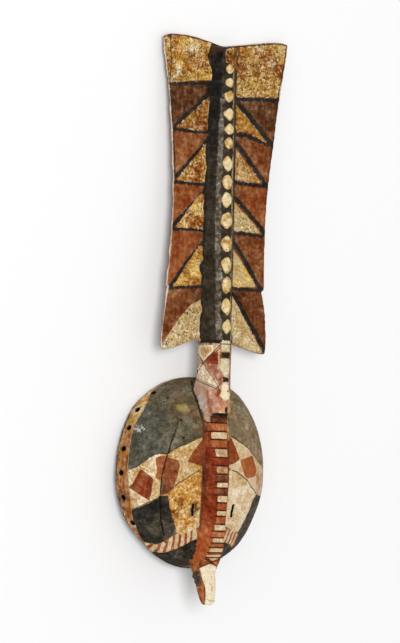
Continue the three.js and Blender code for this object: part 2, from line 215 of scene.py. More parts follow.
def plank_front(x, y):
    along = np.clip((y - 217) / 528, 0, 1)
    root, edge = 79 + (73.5 - 79) * along, 71 + 9 * smooth(along * 1.15)
    out = np.clip((np.abs(x) - 29) / (plank_half(y, x) - 29), 0, 1)
    return root + (edge - root) * out


def grooves():
    y, out = TOOTH_TOP, []
    for pitch in TOOTH_PITCHES:
        y -= pitch
        out.append((y + GROOVE, y))
    return out


def tie_holes():
    """Centre and outward direction of each hole through the band beside the rim."""
    for y in HOLE_Y:
        for side in (-1, 1):
            s = y - FACE_MID
            b, k = (FACE_TOP, ROUND_TOP) if s > 0 else (FACE_BOTTOM, ROUND_BOTTOM)
            x = FACE_HALF * (1 - abs(s / b) ** k) ** (1 / k)
            if abs(s) < 50:
                d = (side, 0.0)
            else:
                nx, ny = (x / FACE_HALF) ** (k - 1) / FACE_HALF, math.copysign((abs(s) / b) ** (k - 1) / b, s)
                d = (side * nx / math.hypot(nx, ny), ny / math.hypot(nx, ny))
            yield side * x + float(sway(float(y))), y, d


CRACK = [(-69.2, 80), (-77.2, 62), (-82, 45), (-85, 38), (-88.8, 22), (-91.8, 5), (-92.8, -15), (-92, -32), (-89.2, -50), (-83.2, -74), (-74.5, -91), (-64.5, -109)]
PITS = [(-68.4, 135, 3.2), (-81, 125, 2.6), (-77, 128, 2.6), (-57.2, 98, 3.6), (-57.1, 68, 3.4)]

# ------------------------------------------------------------------ mesh

VOXEL = 0.0015
TARGET_TRIANGLES = 192000


def mesh_arrays(me):
    co = np.empty(len(me.vertices) * 3)
    me.vertices.foreach_get("co", co)
    return co.reshape(-1, 3)


def vertex_normals(me):
    n = np.empty(len(me.vertices) * 3, np.float32)
    me.vertex_normals.foreach_get("vector", n)
    return n.reshape(-1, 3).astype(float)


def edge_pairs(me):
    e = np.empty(len(me.edges) * 2, np.int32)
    me.edges.foreach_get("vertices", e)
    return e.reshape(-1, 2)


def neighbour_mean(values, edges, count):
    total = np.zeros((count, values.shape[1]))
    for k in range(values.shape[1]):
        total[:, k] = np.bincount(edges[:, 0], values[edges[:, 1], k], count) + np.bincount(edges[:, 1], values[edges[:, 0], k], count)
    degree = np.bincount(edges.ravel(), minlength=count)
    return total / np.maximum(degree, 1)[:, None]


def applied(obj):
    graph = bpy.context.evaluated_depsgraph_get()
    graph.update()
    new = bpy.data.meshes.new_from_object(obj.evaluated_get(graph), preserve_all_data_layers=False, depsgraph=graph)
    old = obj.data
    obj.modifiers.clear()
    obj.data = new
    if old.users == 0:
        bpy.data.meshes.remove(old)


def outer_face(q):
    """Height in mm above the middle of the wood: positive on the carved front, negative on the back and inside."""
    x, y, z = q.T
    bowl = z - np.maximum(skin(x, y) - WALL * 0.55, 3.0)
    plank = z - (plank_front(x, y) - 4.5)
    return np.where(y > 178, plank, np.where((y > 150) & (np.abs(x) < 26), np.maximum(bowl, z - 62), bowl))


def carve(obj):
    """Turns the plain solid into a hand carved surface."""
    me = obj.data
    bm = bmesh.new()
    bm.from_mesh(me)
    bmesh.ops.remove_doubles(bm, verts=bm.verts, dist=1e-6)
    bm.to_mesh(me)
    bm.free()
    mod = obj.modifiers.new("remesh", "REMESH")
    mod.mode, mod.voxel_size, mod.adaptivity = "VOXEL", VOXEL, 0.0
    applied(obj)

    me = obj.data
    co = mesh_arrays(me)
    edges = edge_pairs(me)
    count = len(co)
    base = to_upright(co)

    # soften the edges a little
    for _ in range(2):
        co = co + 0.5 * (neighbour_mean(co, edges, count) - co)
    me.vertices.foreach_set("co", co.ravel())
    me.update()
    q = to_upright(co)
    n = vertex_normals(me)
    n = to_upright(co + n * 1e-3) - q
    n /= np.maximum(np.linalg.norm(n, axis=1), 1e-9)[:, None]
    x, y, z = q.T

    front = outer_face(q) > 0
    on_ridge = (np.abs(x - ridge_sway(y)) < ridge_root(y)) & (y < 112) & front
    on_post = (y > 240) & (np.abs(x) < post_root(y) + 2) & front

    # uneven hand work
    move = 0.55 * noise(q, (55, 80, 55), 3, 2)
    # shallow hollows of the blade, longer along the grain
    cut = scallops(q, (15, 24, 15), 21)
    move += np.where(front, 0.5, 1.5) * (cut - 0.55) * np.where(on_ridge | on_post, 0.45, 1.0)
    # the back and the hollow are left rougher
    cut2 = scallops(q + 400, (26, 34, 26), 31)
    move += np.where(front, 0.0, 2.0) * (cut2 - 0.55)
    # fibres
    move += 0.10 * noise(q, (2.6, 22, 2.6), 5, 2)
    # crusty paint
    move += 0.10 * noise(q, 4.0, 7, 2) * front

    # worn and nicked edges: where the surface is strongly convex, it loses a little
    lap = neighbour_mean(q, edges, count) - q
    bend = -(lap * n).sum(1)
    for _ in range(3):
        bend = 0.5 * bend + 0.5 * neighbour_mean(bend[:, None], edges, count)[:, 0]
    sharp = np.clip(bend / 0.25, 0, 1)
    move -= sharp * (0.35 + 0.9 * np.clip(noise(q, 9, 9, 2), 0, 1) + 1.4 * np.clip(noise(q, 22, 10, 1) - 0.45, 0, 1))

    # a chip out of the right edge of the bowl
    chip = np.exp(-(((x - 93) / 6) ** 2 + ((y + 96) / 5) ** 2)) * front
    move -= 2.2 * chip

    # the wall is left whole beside the rim and round the tie holes
    move = np.where(~front & (y < 178) & (z < 34), 0.4 * move, move)
    for hx, hy, (dx, dy) in tie_holes():
        w = q - np.array([hx, hy, HOLE_Z])
        along = w[:, 0] * dx + w[:, 1] * dy
        perp = np.sqrt((w[:, 0] - along * dx) ** 2 + (w[:, 1] - along * dy) ** 2 + w[:, 2] ** 2)
        move = np.where(np.abs(along) < 24, move * (0.1 + 0.9 * smooth((perp - 4.5) / 4)), move)
    out = q + n * move[:, None]

    # the long crack: a narrow groove in the left of the bowl
    bowl = front & (y < 110) & (x < -40)
    side, dist = stroke(q[:, :2], CRACK)
    jitter = 0.8 * noise(q, 7, 41, 1)
    close = bowl & (dist < 2.1)
    width = 1.15
    lane = close & (np.abs(side) < 0.8)
    # pull the middle lane onto the crack and push it in, and pull its neighbours to its lips
    grad = np.zeros_like(q)
    pts = np.asarray(CRACK, float)
    seg = np.argmin(np.stack([np.abs(stroke(q[:, :2], [a, b])[1]) for a, b in zip(CRACK[:-1], CRACK[1:])], 1), 1)
    e = (pts[1:] - pts[:-1])
    e /= np.linalg.norm(e, axis=1)[:, None]
    grad[:, 0], grad[:, 1] = -e[seg, 1], e[seg, 0]
    out -= np.where(lane, side, 0.0)[:, None] * grad
    out -= n * np.where(lane, 3.0 - 1.6 * smooth((y - 20) / 50), 0.0)[:, None]
    lips = close & ~lane
    out += np.where(lips, np.sign(side) * width - side, 0.0)[:, None] * grad * 0.8
    out += np.where(close, jitter, 0.0)[:, None] * grad * 0.5

    # small pits
    for px, py, r in PITS:
        d = np.hypot(x - px, y - py)
        out -= n * (np.clip(1 - d / r, 0, 1) * 2.0 * front)[:, None]

    lying = to_lying(out)
    lying[:, 2] = np.maximum(lying[:, 2], 0.0)
    me.vertices.foreach_set("co", lying.ravel())
    me.update()

    # fewer triangles behind and inside than in front
    group = obj.vertex_groups.new(name="keep")
    w = np.where(outer_face(q) > -1.5, 0.0, 1.0)
    hidden = np.where(w > 0.5)[0].tolist()
    group.add(hidden, 1.0, "REPLACE")
    me.calc_loop_triangles()
    tris = len(me.loop_triangles)
    mod = obj.modifiers.new("decimate", "DECIMATE")
    mod.decimate_type = "COLLAPSE"
    mod.ratio = min(1.0, 2.0 * TARGET_TRIANGLES / tris)
    mod.vertex_group = "keep"
    mod.vertex_group_factor = 3.0
    mod.use_collapse_triangulate = True
    applied(obj)
    # second pass over everything, so that the count stays within its limit
    obj.data.calc_loop_triangles()
    first = len(obj.data.loop_triangles)
    mod = obj.modifiers.new("decimate", "DECIMATE")
    mod.decimate_type = "COLLAPSE"
    mod.ratio = min(1.0, TARGET_TRIANGLES / first)
    mod.use_collapse_triangulate = True
    applied(obj)
    print("first pass:", first)
    obj.vertex_groups.clear()
    co = mesh_arrays(obj.data)
    co[:, 2] = np.maximum(co[:, 2], 0.0)
    obj.data.vertices.foreach_set("co", co.ravel())
    obj.data.update()
    obj.data.calc_loop_triangles()
    print("carved mesh:", tris, "->", len(obj.data.loop_triangles))


# ------------------------------------------------------------------ painted pattern

def tint(r, g, b):
    """Base colour from 0 to 255 screen values."""
    return np.array([v / 12.92 if v <= 0.04045 else ((v + 0.055) / 1.055) ** 2.4 for v in (r / 255, g / 255, b / 255)])


PIGMENT = {name: tint(*v) for name, v in {
    # bare wood, and the paler edge wood, partly a painted highlight
    "hollow wood": (66, 44, 31), "back wood": (112, 78, 52), "edge wood and highlight": (214, 186, 168), "rim brown": (150, 96, 52),
    "rim straw": (180, 146, 90), "rim dark": (84, 55, 37), "rim orange": (184, 118, 50), "rim mauve": (146, 110, 92), "pale line": (176, 148, 110),
    # earth and soot blacks, and the painted shade in holes
    "soot": (34, 31, 27), "soot brown": (55, 47, 36), "charred": (42, 37, 30), "hole shade": (10, 8, 7), "umber": (62, 43, 31), "worn grey": (92, 82, 68), "flank worn": (118, 98, 70),
    "charcoal": (96, 88, 68), "charcoal blue": (84, 81, 69), "charcoal brown": (112, 86, 58), "charcoal pale": (126, 112, 84),
    "charcoal pink": (144, 116, 92), "cheek black": (46, 41, 34), "strip grey": (64, 55, 43), "flank grey": (72, 63, 50),
    # red ochres
    "ochre": (127, 72, 38), "ochre brown": (90, 55, 31), "ochre orange": (154, 84, 44), "diamond red": (118, 57, 28),
    "diamond brown": (130, 72, 42), "triangle red": (137, 69, 34), "strip orange": (158, 92, 54), "far red": (163, 91, 47), "far stripe": (150, 76, 42),
    "ridge red": (128, 51, 22), "ridge red warm": (168, 86, 42), "tooth brown": (112, 62, 36), "tooth orange": (166, 92, 50),
    "tooth red": (146, 64, 34), "deep red": (124, 52, 30), "knob orange": (186, 106, 56),
    # pink and mauve washes, and a painted highlight
    "mauve": (188, 156, 134), "mauve brown": (140, 100, 74), "pink": (192, 138, 110), "pink brown": (156, 98, 74), "neck highlight": (188, 177, 170), "lip": (204, 150, 90),
    "pink pale": (204, 172, 146), "tan": (172, 126, 86), "patch": (150, 130, 78),
    # white earth, fresh and stained
    "white": (234, 218, 186), "bloom": (208, 196, 160), "shell": (226, 204, 156), "gold": (209, 168, 84), "cream": (208, 180, 140), "cream pink": (214, 186, 152), "cream straw": (194, 160, 108),
    "bone": (192, 168, 118), "straw": (186, 146, 76), "honey": (162, 113, 46), "amber": (149, 96, 39), "amber dark": (127, 77, 31),
    "rust": (142, 74, 36), "eye straw": (196, 146, 76), "eye cream": (214, 186, 146),
}.items()}


def mixed(a, b, t):
    a = PIGMENT[a] if isinstance(a, str) else a
    b = PIGMENT[b] if isinstance(b, str) else b
    return a + (b - a) * np.clip(t, 0, 1)[:, None]


class Paint:
    """Layers of paint. For each layer d is the distance in mm inside its area, and colour its base colour there.
    mottle is how far that colour wanders, speck how many dark spots and dust how many pale ones it has."""

    def __init__(self, count):
        self.d = {c: np.full(count, -30.0) for c in "wrkp"}
        self.colour = {c: np.tile(PIGMENT["ochre"], (count, 1)) for c in "wrkpb"}
        self.mottle = np.full(count, 0.5)
        self.speck = np.full(count, 0.2)
        self.dust = np.full(count, 0.2)
        self.line_side = np.full(count, 30.0)
        self.line_dist = np.full(count, 30.0)
        self.line_half = np.full(count, 0.5)
        self.line_tone = np.zeros(count)

    def lay(self, layer, s, pigment, mottle=0.5, speck=0.2, dust=0.2, reach=2.0):
        near = np.where(self.d[layer] > 0, s > 0, s > -reach)
        for other in "wrkp":
            if other != layer:
                self.d[other] = np.minimum(self.d[other], -s)
        self.d[layer] = np.maximum(self.d[layer], s)
        colour = PIGMENT[pigment] if isinstance(pigment, str) else pigment
        self.colour[layer] = np.where(near[:, None], colour, self.colour[layer])
        for name, value in (("mottle", mottle), ("speck", speck), ("dust", dust)):
            setattr(self, name, np.where(s > -0.5, value, getattr(self, name)))

    def line(self, p, where, points, half, tone=0.0):
        side, dist = stroke(p, points)
        near = where & (dist - half < self.line_dist - self.line_half)
        self.line_side = np.where(near, side, self.line_side)
        self.line_dist = np.where(near, dist, self.line_dist)
        self.line_half = np.where(near, half, self.line_half)
        self.line_tone = np.where(near, tone, self.line_tone)


def paint(obj):
    me = obj.data
    co = mesh_arrays(me)
    q = to_upright(co)
    count = len(q)
    n = vertex_normals(me)
    n = to_upright(co + n * 1e-3) - q
    n /= np.maximum(np.linalg.norm(n, axis=1), 1e-9)[:, None]
    x, y, z = q.T
    rx = x - ridge_sway(y)
    ink = Paint(count)

    # the hand that painted wandered a little
    wander = np.stack([noise(q, 14, 61, 2), noise(q, 14, 62, 2)], 1) * 0.6 + np.stack([noise(q, 5, 63), noise(q, 5, 64)], 1) * 0.35
    p = q[:, :2] + wander
    px, py = p.T
    left = x < 0
    # seen square to the left side of the face, and the same mirrored for the right side
    tilt_c, tilt_s = math.cos(math.radians(30)), math.sin(math.radians(30))
    turned = np.where(x < np.where(y > 112, 13.8, 15.0), x, -x)
    uv = np.stack([turned * tilt_c + z * tilt_s, y], 1)
    uv_soft = uv + wander * 0.5

    def only(s, mask, gap=30.0):
        return np.where(mask, s, -gap)

    # the hollow inside and the backs are left bare
    out = q - np.array([0.0, 5.0, -10.0])
    inner = (y < 181) & (z < skin(x, y) - 3.0) & ((n * out).sum(1) < -0.15 * np.linalg.norm(out, axis=1))
    inner |= (y < 160) & (y > -132) & (n[:, 2] < -0.3) & (z < skin(x, y) + np.where((np.abs(x) < 34) & (y < 92), 22.0, 3.0))
    behind = (y > 176) & (n[:, 2] < -0.55)
    front = np.where(inner | behind, -9.0, outer_face(q))
    is_front = front > 0
    cloud_big, cloud, cloud_small = noise(q, 46, 90, 2), noise(q, 22, 91, 2), noise(q, 9, 92, 2)

    # -- bare wood
    bowl = is_front & (y < 181)
    bare = mixed("hollow wood", "back wood", smooth((y - 150) / 30))
    # the band beside the rim: brown to straw towards the top, streaked orange and mauve, and darker within 3.5 mm of
    # the edge, partly dirt and partly painted shade where the edge turns away
    bare = np.where((bowl & (front > 0))[:, None], mixed(mixed(mixed(mixed("rim brown", "rim straw", smooth((y + 10 + 26 * cloud_big) / 110)), "rim orange", smooth(1.4 * cloud + 0.05) * 0.8), "rim mauve", smooth(1.5 * noise(q, 17, 99, 2) - 0.3) * 0.6), "rim dark", smooth((3.5 - z) / 3.5) * 0.9), bare)
    rim_flat = (y < 181) & (z < 1.2)
    bare = np.where(rim_flat[:, None], PIGMENT["rim dark"], bare)
    # the plank's cut edges: bare wood, made paler as a painted highlight
    plank_edge = (y > 205) & (front > -3.9) & (n[:, 2] > -0.2)
    bare = np.where(plank_edge[:, None], PIGMENT["edge wood and highlight"], bare)
    ink.colour["b"] = bare
    ink.mottle = np.where(bowl, 1.1, 0.7)
    ink.dust = np.where(bowl, 0.8, 0.3)
    ink.speck = np.where(bowl, 0.55, 0.2)

    # -- bowl: charcoal over all but a bare band beside the rim
    band_top = profile([[172, 6], [160, 9], [142, 13], [129, 24], [112, 28], [94, 27.5], [73, 27], [49, 28.8], [8, 31], [-19, 32.3], [-41, 30], [-56, 27], [-84, 20.3], [-105, 9.8], [-120, 4.4], [-130, 1.6], [-150, -6]])
    above = z + 0.8 * wander[:, 0] - band_top(y)
    coal = mixed("charcoal", "charcoal blue", smooth((-78 - x + 22 * cloud_big) / 34))
    coal = mixed(coal, "charcoal brown", smooth(1.15 - np.hypot(x + 6, (y - 108) * 0.8) / 62 + 0.5 * cloud) * (x < 20) * 0.75)
    pale_side = mixed(mixed("charcoal pale", "charcoal pink", smooth(0.2 + 1.3 * cloud) * 0.55), "rim straw", smooth(1.4 * cloud_small - 0.35) * 0.5)
    coal = mixed(coal, pale_side, smooth((x - 14) / 12))
    ink.lay("k", only(above, bowl), coal, 0.62, 0.25, 0.42)
    ink.lay("p", only(0.55 - np.abs(above + 0.4), bowl & (above > -6)) - 0.5 * np.clip(cloud_small, 0, 1), "pale line", 0.6)

    def face(outline):
        return np.minimum(only(area(p, outline), bowl), above)

    # left: chequered cheek
    ink.lay("w", face([(-150, 6), (-134, 10.5), (-126.6, 15), (-118.8, 23), (-111.7, 30.3), (-104.2, 36.5), (-97.2, 39.8), (-88, 39.2), (-88.8, 22), (-91.8, 5), (-92.8, -15), (-92, -32), (-106.4, -45), (-121.5, -57.5), (-150, -60)]),
            mixed(mixed("cream", "white", smooth(0.25 + 1.5 * cloud_small)), "cream straw", smooth(0.55 + cloud) * 0.9), 1.2, 0.75, 0.4)
    ink.lay("w", face([(-103.2, -4.4), (-93, -7), (-92.4, -31), (-105.5, -40.5), (-104.5, -25)]), "cream straw", 0.8, 0.3)
    ink.lay("r", face([(-121, 13.6), (-112, 5), (-103.6, -3.6), (-104.4, -24), (-105.6, -40), (-115.5, -34), (-130.5, -20)]),
            mixed(mixed("diamond red", "ridge red", smooth(0.3 + 1.4 * cloud_small)), "umber", smooth(1.5 * cloud - 0.4) * 0.45), 0.7, 0.4, 0.2)
    ink.lay("r", face([(-101.5, 32), (-95, 36), (-87, 36.5), (-89.5, 22.7), (-91.6, 0.3), (-93, -6), (-101, -2.8), (-99.4, 7.4), (-100.4, 18.6)]), "strip orange", 1.0, 0.45, 0.7)
    # right of the crack
    ink.lay("w", face([(-87.5, 39.6), (-83, 40), (-76, 45.3), (-65.9, 52.2), (-55, 55.5), (-45, 60.5), (-34.4, 66.3), (-18, 72), (-19.4, 12), (-51, 2), (-76.9, -20), (-81, -31), (-91, -31), (-91.8, 5)]),
            mixed("cream straw", "straw", smooth(0.55 + 1.4 * cloud)), 0.9, 0.6, 0.35)
    ink.lay("r", face([(-86.5, 36.5), (-80, 32), (-68.5, 30.5), (-64.8, 21.2), (-68, 6.2), (-71.1, -5.1), (-74.9, -17.6), (-83, -28), (-91.2, -29.6), (-91.4, -12), (-89.9, 12.8)]),
            mixed("diamond brown", "umber", smooth(1.6 * cloud - 0.25) * 0.7), 0.8, 0.5, 0.3)
    ink.lay("r", face([(-30, 61), (-25, 66), (-18, 68), (-19.4, 16), (-27, 20.2), (-41, 25.9), (-51.3, 27), (-50.8, 32), (-45.5, 40), (-37.5, 50)]), "triangle red", 0.65, 0.3, 0.35)
    ink.lay("w", face([(-80.6, -30), (-75.4, -20), (-64, -7), (-51, 1), (-39.2, 8), (-27.9, 13.4), (-18, 18), (-16, -78), (-24, -83.5), (-31, -88.3), (-38.5, -93.5), (-51.2, -97.3), (-57.4, -86), (-67.9, -67), (-76.3, -46)]),
            mixed(mixed("eye straw", "amber", smooth(0.30 + 1.5 * cloud - (x + 62) / 60)), "cream", smooth((x + 46) / 24 + 0.9 * cloud_small) * smooth((-52 - y) / 18)), 1.1, 0.55, 0.5)
    # a grey-brown halo of dirt round the left eye
    halo = 1 - np.hypot((x + 36) / 9.5, (y + 53) / 17) + 0.35 * cloud_small
    ink.colour["w"] = np.where((bowl & left)[:, None], mixed(ink.colour["w"], "charcoal brown", smooth(halo * 2.2) * 0.8), ink.colour["w"])
    # cheek below: black, with a greyer strip beside the crack
    ink.lay("k", face([(-150, -66), (-121.8, -58.6), (-92.2, -33.5), (-64.6, -107), (-71.2, -115), (-83.6, -112), (-97, -104), (-120, -85)]),
            mixed("cheek black", "charcoal", smooth(cloud - 0.1) * 0.5), 0.55, 0.3, 0.5)
    ink.lay("k", face([(-91.6, -31.4), (-80.8, -31), (-76.3, -46), (-67.9, -67), (-57.6, -86), (-58.6, -99), (-65, -108.6), (-74.4, -92), (-83.2, -74), (-89.2, -50)]),
            mixed("strip grey", "cheek black", smooth(0.6 + cloud)), 0.6, 0.3, 0.5)
    # striped band and black chin
    top = [(-84, -112.5), (-72.6, -115.3), (-65.4, -109), (-58.5, -100), (-53.5, -95.6), (-42.6, -95.6), (-32.4, -89), (-24, -82.2), (-15, -77)]
    low = [(-80, -131), (-65.6, -128.6), (-58.2, -128.3), (-51, -125.8), (-42, -119.4), (-35.2, -114.6), (-24.5, -105.2), (-17.5, -99), (-12, -96)]
    stripes(ink, face, top, low, [0, .06, .115, .175, .225, .285, .335, .40, .45, .515, .565, .63, .68, .735, .785, .845, .89, .945, .985, 1], "cream", "far stripe")
    chin = mixed(mixed("charred", "soot brown", smooth(0.3 + cloud)), "charcoal blue", smooth(1.6 * noise(q, 12, 95, 2) - 0.35) * 0.15)
    ink.lay("k", face([(-95, -120), (-80, -131)] + low[1:] + [(-6, -170), (-95, -170)]), chin, 0.65, 0.2, 0.22)

    # right half
    ink.lay("w", face([(29.2, 74), (34.2, 72), (56.2, 62), (72.4, 53), (83.8, 43), (109.2, 27), (150, 8), (150, -30), (94.3, -24), (63.4, 0), (20.7, 16), (20.8, 40)]), "cream", 0.7, 0.35)
    ink.lay("r", face([(21.2, 78), (29.2, 73), (34.2, 70), (51.1, 35), (38.9, 27), (20.7, 24)]), "triangle red", 0.6)
    ink.lay("r", face([(51.1, 34), (82.8, 42), (89.6, 27), (96, 17), (91.4, 7.6), (70, 2.1), (63, 6), (58.3, 16)]), "far red", 0.6, 0.25)
    ink.lay("p", face([(94, 8.5), (101, 18), (128, 8), (150, -5), (150, -40), (105.5, -24), (99, -21), (94.6, -5)]), mixed("pink pale", "tan", smooth(0.3 + cloud_small)), 0.6, 0.35)
    ink.lay("w", face([(71.2, 0.8), (91.5, 6.6), (97.6, -19.6), (88, -14.5), (76.4, -5.4)]), "cream pink", 0.4, 0.1)
    ink.lay("k", face([(150, -30), (104.4, -25.2), (98.6, -24), (89.2, -33.4), (83.9, -52.2), (75.2, -71.2), (67.1, -88.6), (60, -119), (70, -170), (150, -170)]), "flank grey", 0.6, 0.2, 0.5)
    ink.lay("w", face([(16, 19), (35.8, 14), (46.6, 12), (63.4, 1), (78.9, -10.4), (98.6, -24.2), (89.2, -33.4), (83.9, -52.2), (75.2, -71.2), (67.1, -88.6), (51.2, -88), (37.6, -81), (16, -73)]),
            mixed(mixed("eye cream", "white", smooth(0.3 + 1.2 * cloud_small) * 0.6), "cream straw", smooth(1.2 * cloud) * 0.8), 0.85, 0.45, 0.4)
    rtop = [(16, -75), (27, -80), (37.9, -84.4), (51.2, -88), (62, -90.5), (72, -94)]
    rlow = [(14, -97), (26, -103), (40, -107.5), (50, -109), (58.5, -112.5), (70, -116)]
    stripes(ink, face, rtop, rlow, [0, .06, .12, .2, .26, .34, .40, .485, .54, .63, .69, .78, .84, .93, 1], "cream", "far stripe")
    ink.lay("k", face([(10, -95), (14, -97), (26, -103), (40, -107.5), (50, -109), (58.5, -112.5), (70, -116), (72, -170), (8, -170)]), mixed("cheek black", "charcoal", smooth(0.4 + cloud) * 0.6), 0.6, 0.2, 0.5)

    # a soft yellow patch on the forehead
    patch = area(p, [(-59.8, 124.4), (-44.2, 125.6), (-42.2, 114.4), (-51, 110.4), (-61.2, 114)])
    inside = (bowl & (y > 90) & (x < -30))
    ink.colour["k"] = np.where(inside[:, None], mixed(ink.colour["k"], "patch", smooth((patch + 2.5 + 1.2 * cloud_small) / 5)), ink.colour["k"])

    for hx, hy, r in PITS:
        ink.lay("k", only(0.5 * r - np.hypot(x - hx, y - hy), bowl), "soot", 0.3, 0.0, 0.0)

    # -- ridge of the face
    ridge = is_front & (y < 116) & (y > -150)
    on_ridge = ridge & (z > skin(x, y) - 4)
    flank = mixed(mixed("ridge red", "ridge red warm", smooth((-55 - y) / 55)), "umber", smooth(1.5 * noise(q, (6, 60, 6), 97, 2) - 0.3) * 0.3)
    # near its foot the flank darkens to umber and deep red: painted shade in the crease where it meets the bowl
    flank = mixed(flank, mixed("umber", "deep red", smooth(0.4 + 1.3 * noise(q, (8, 30, 8), 96, 2))), smooth((np.abs(rx) - root_paint(y) + 9) / 7) * smooth((y + 70) / 50) * 0.55)
    # its left foot spreads towards the beak
    spread = np.where(rx < 0, profile([[-50, 0], [-84, 0.8], [-111, 1.0], [-123, 0.9], [-132, 1.8], [-140, 2.2], [-150, 1.2]])(y), 0)
    ink.lay("r", only(root_paint(y) + spread + 0.2 - np.abs(rx), on_ridge), flank, 0.75, 0.3, 0.35)
    # a soft dark line along each foot of the ridge: painted shade in the crease
    for side, low in ((-1, -84), (1, -136)):
        ink.line(p, ridge & (x * side > 0), [(side * float(root_paint(v)) + float(ridge_sway(v)), v) for v in np.linspace(110, low, 16)], 0.5, 0.55)
    # notches down its front, painted one by one
    colours = ["brown", "orange", "white", "orange", "white", "red", "tan", "brown", "white", "brown", "white", "orange",
               "white", "orange", "white", "orange", "white", "orange", "white", "red"]
    edges = [-19.5, -18.4, -15.6, -15.6, -11, -13.6, -10.4, -11.4, -8.6, -10.9, -7.7, -8, -6.9, -7.8, -8.7, -10.2, -7, -8.9, -9.8, -10.3]
    shade = {"brown": ("r", "tooth brown"), "orange": ("r", "tooth orange"), "white": ("w", "cream"), "tan": ("p", "tan"), "red": ("r", "tooth red")}
    upper = TOOTH_TOP
    for i, (g0, g1) in enumerate(grooves()):
        on_front = ridge & (z > ridge_front(y) - (13 if i < 5 else 7))
        right_edge = ridge_sway(y) + ridge_half(y) + 0.4
        s = np.minimum(np.minimum(upper - y, y - g0) + 0.5 * wander[:, 1], np.minimum(x - edges[i] + 1.4 * cloud_small, right_edge - x))
        layer, pigment = shade[colours[i]]
        ink.lay(layer, only(s, on_front), mixed(pigment, "rust" if layer == "w" else "umber", smooth(1.4 * cloud - 0.4) * 0.35), 0.8, 0.4, 0.3)
        mid, sw = (g0 + g1) / 2, float(ridge_sway((g0 + g1) / 2))
        # a dark line in each groove: painted shadow under each notch
        ink.line(q[:, :2], ridge & (z > ridge_front(y) - 14), [(min(edges[i], edges[min(i + 1, 19)]) - 0.5, mid), (sw + float(ridge_half(mid)) + 0.5, mid)], 1.05, 0.1)
        upper = g1
    # the narrow side to the right of the upper notches is tan
    ink.lay("p", only(np.minimum(x - 13.2, 30 - x), on_ridge & (y > 66) & (y < 108)), "tan", 0.7)
    # pointed white end
    ink.lay("w", only(area(uv_soft, [(36.7, -129.0), (64.5, -127.6), (61.4, -133.6), (47.9, -138.8)]), ridge), "cream", 0.5, 0.2)
    tail = is_front & (y < -126) & (y > -160)
    ink.line(uv, tail, [(35.2, -135.5), (47.2, -141.7), (56, -147.6)], 0.9, 0.05)
    ink.line(uv, tail, [(63.4, -133.6), (47.2, -141.7), (26.0, -151.6)], 0.8, 0.3)

    # -- beak
    beak = (y < -139) & (np.abs(rx) < np.where(y > -153, 17.5, 26)) & (z > 30) & ((z > skin(x, y) + 2.5) | (y < -154))
    ink.lay("r", only(np.full(count, 6.0), beak), mixed("knob orange", "ochre", smooth(0.5 + cloud_small)), 0.7, 0.3)
    cream = [(42, -143.5), (26, -151.8), (29, -160), (31.5, -170), (37.6, -185), (38.6, -197), (37.4, -213), (36, -222), (80, -222), (80, -150), (56, -149)]
    ink.lay("w", only(area(uv_soft, cream), beak), mixed("white", "cream straw", smooth(1.2 * cloud - 0.6)), 0.7, 0.6, 0.45)
    for points in ([(26, -151.8), (29, -160), (31.5, -170), (37.6, -185), (38.6, -197), (37.4, -213)], [(45, -176), (50, -183), (49, -190)], [(42, -204), (48, -207), (56, -206)]):
        ink.line(uv_soft, beak, points, 0.4, 0.9)
    knobs = np.full(count, -9.0)
    for i in range(3):
        for side in (-1, 1):
            d = q - np.array([2.1 + side * (11.2 - 0.9 * i), -163 - 9.2 * i, 60 + 4 * i])
            c, s = math.cos(0.45), math.sin(0.45)
            dy, dz = d[:, 1] * c - d[:, 2] * s, d[:, 1] * s + d[:, 2] * c
            knobs = np.maximum(knobs, (1.10 - np.sqrt((d[:, 0] / 5.5) ** 2 + (dy / 4.9) ** 2 + (dz / (15 - 2.5 * i)) ** 2)) * 5)
    ink.lay("k", only(knobs, beak & (np.abs(rx) > 8.2) & (y > -183.5)), mixed("flank grey", "cheek black", smooth(0.5 + cloud_small)), 0.6, 0.2, 0.4)

    # -- neck
    proud = np.where(y < 178, z - skin(x, y) - 2.0, z - 62.0)
    neck = (y > 88) & (y < 246) & ~behind & ~inner & (np.abs(x) < neck_back(y) + 1.6) & (proud > 0) & ((y > 108) | (np.abs(rx) > ridge_half(y) + 3))
    foot = only(np.minimum(proud, 8) + 1.0, neck)
    nk = lambda outline: np.minimum(only(area(uv_soft, outline), neck), foot + 2)
    ink.lay("p", foot, mixed("mauve", "mauve brown", smooth(-0.4 + 1.1 * cloud_small) * 0.6), 0.5, 0.25)
    ink.lay("p", nk([(-30, 166), (8.5, 165), (21, 164.5), (27.1, 142), (28.9, 115), (31.3, 96), (40, 84), (-30, 84)]), mixed("mauve", "charcoal pale", smooth(cloud_small) * 0.5), 0.5, 0.2)
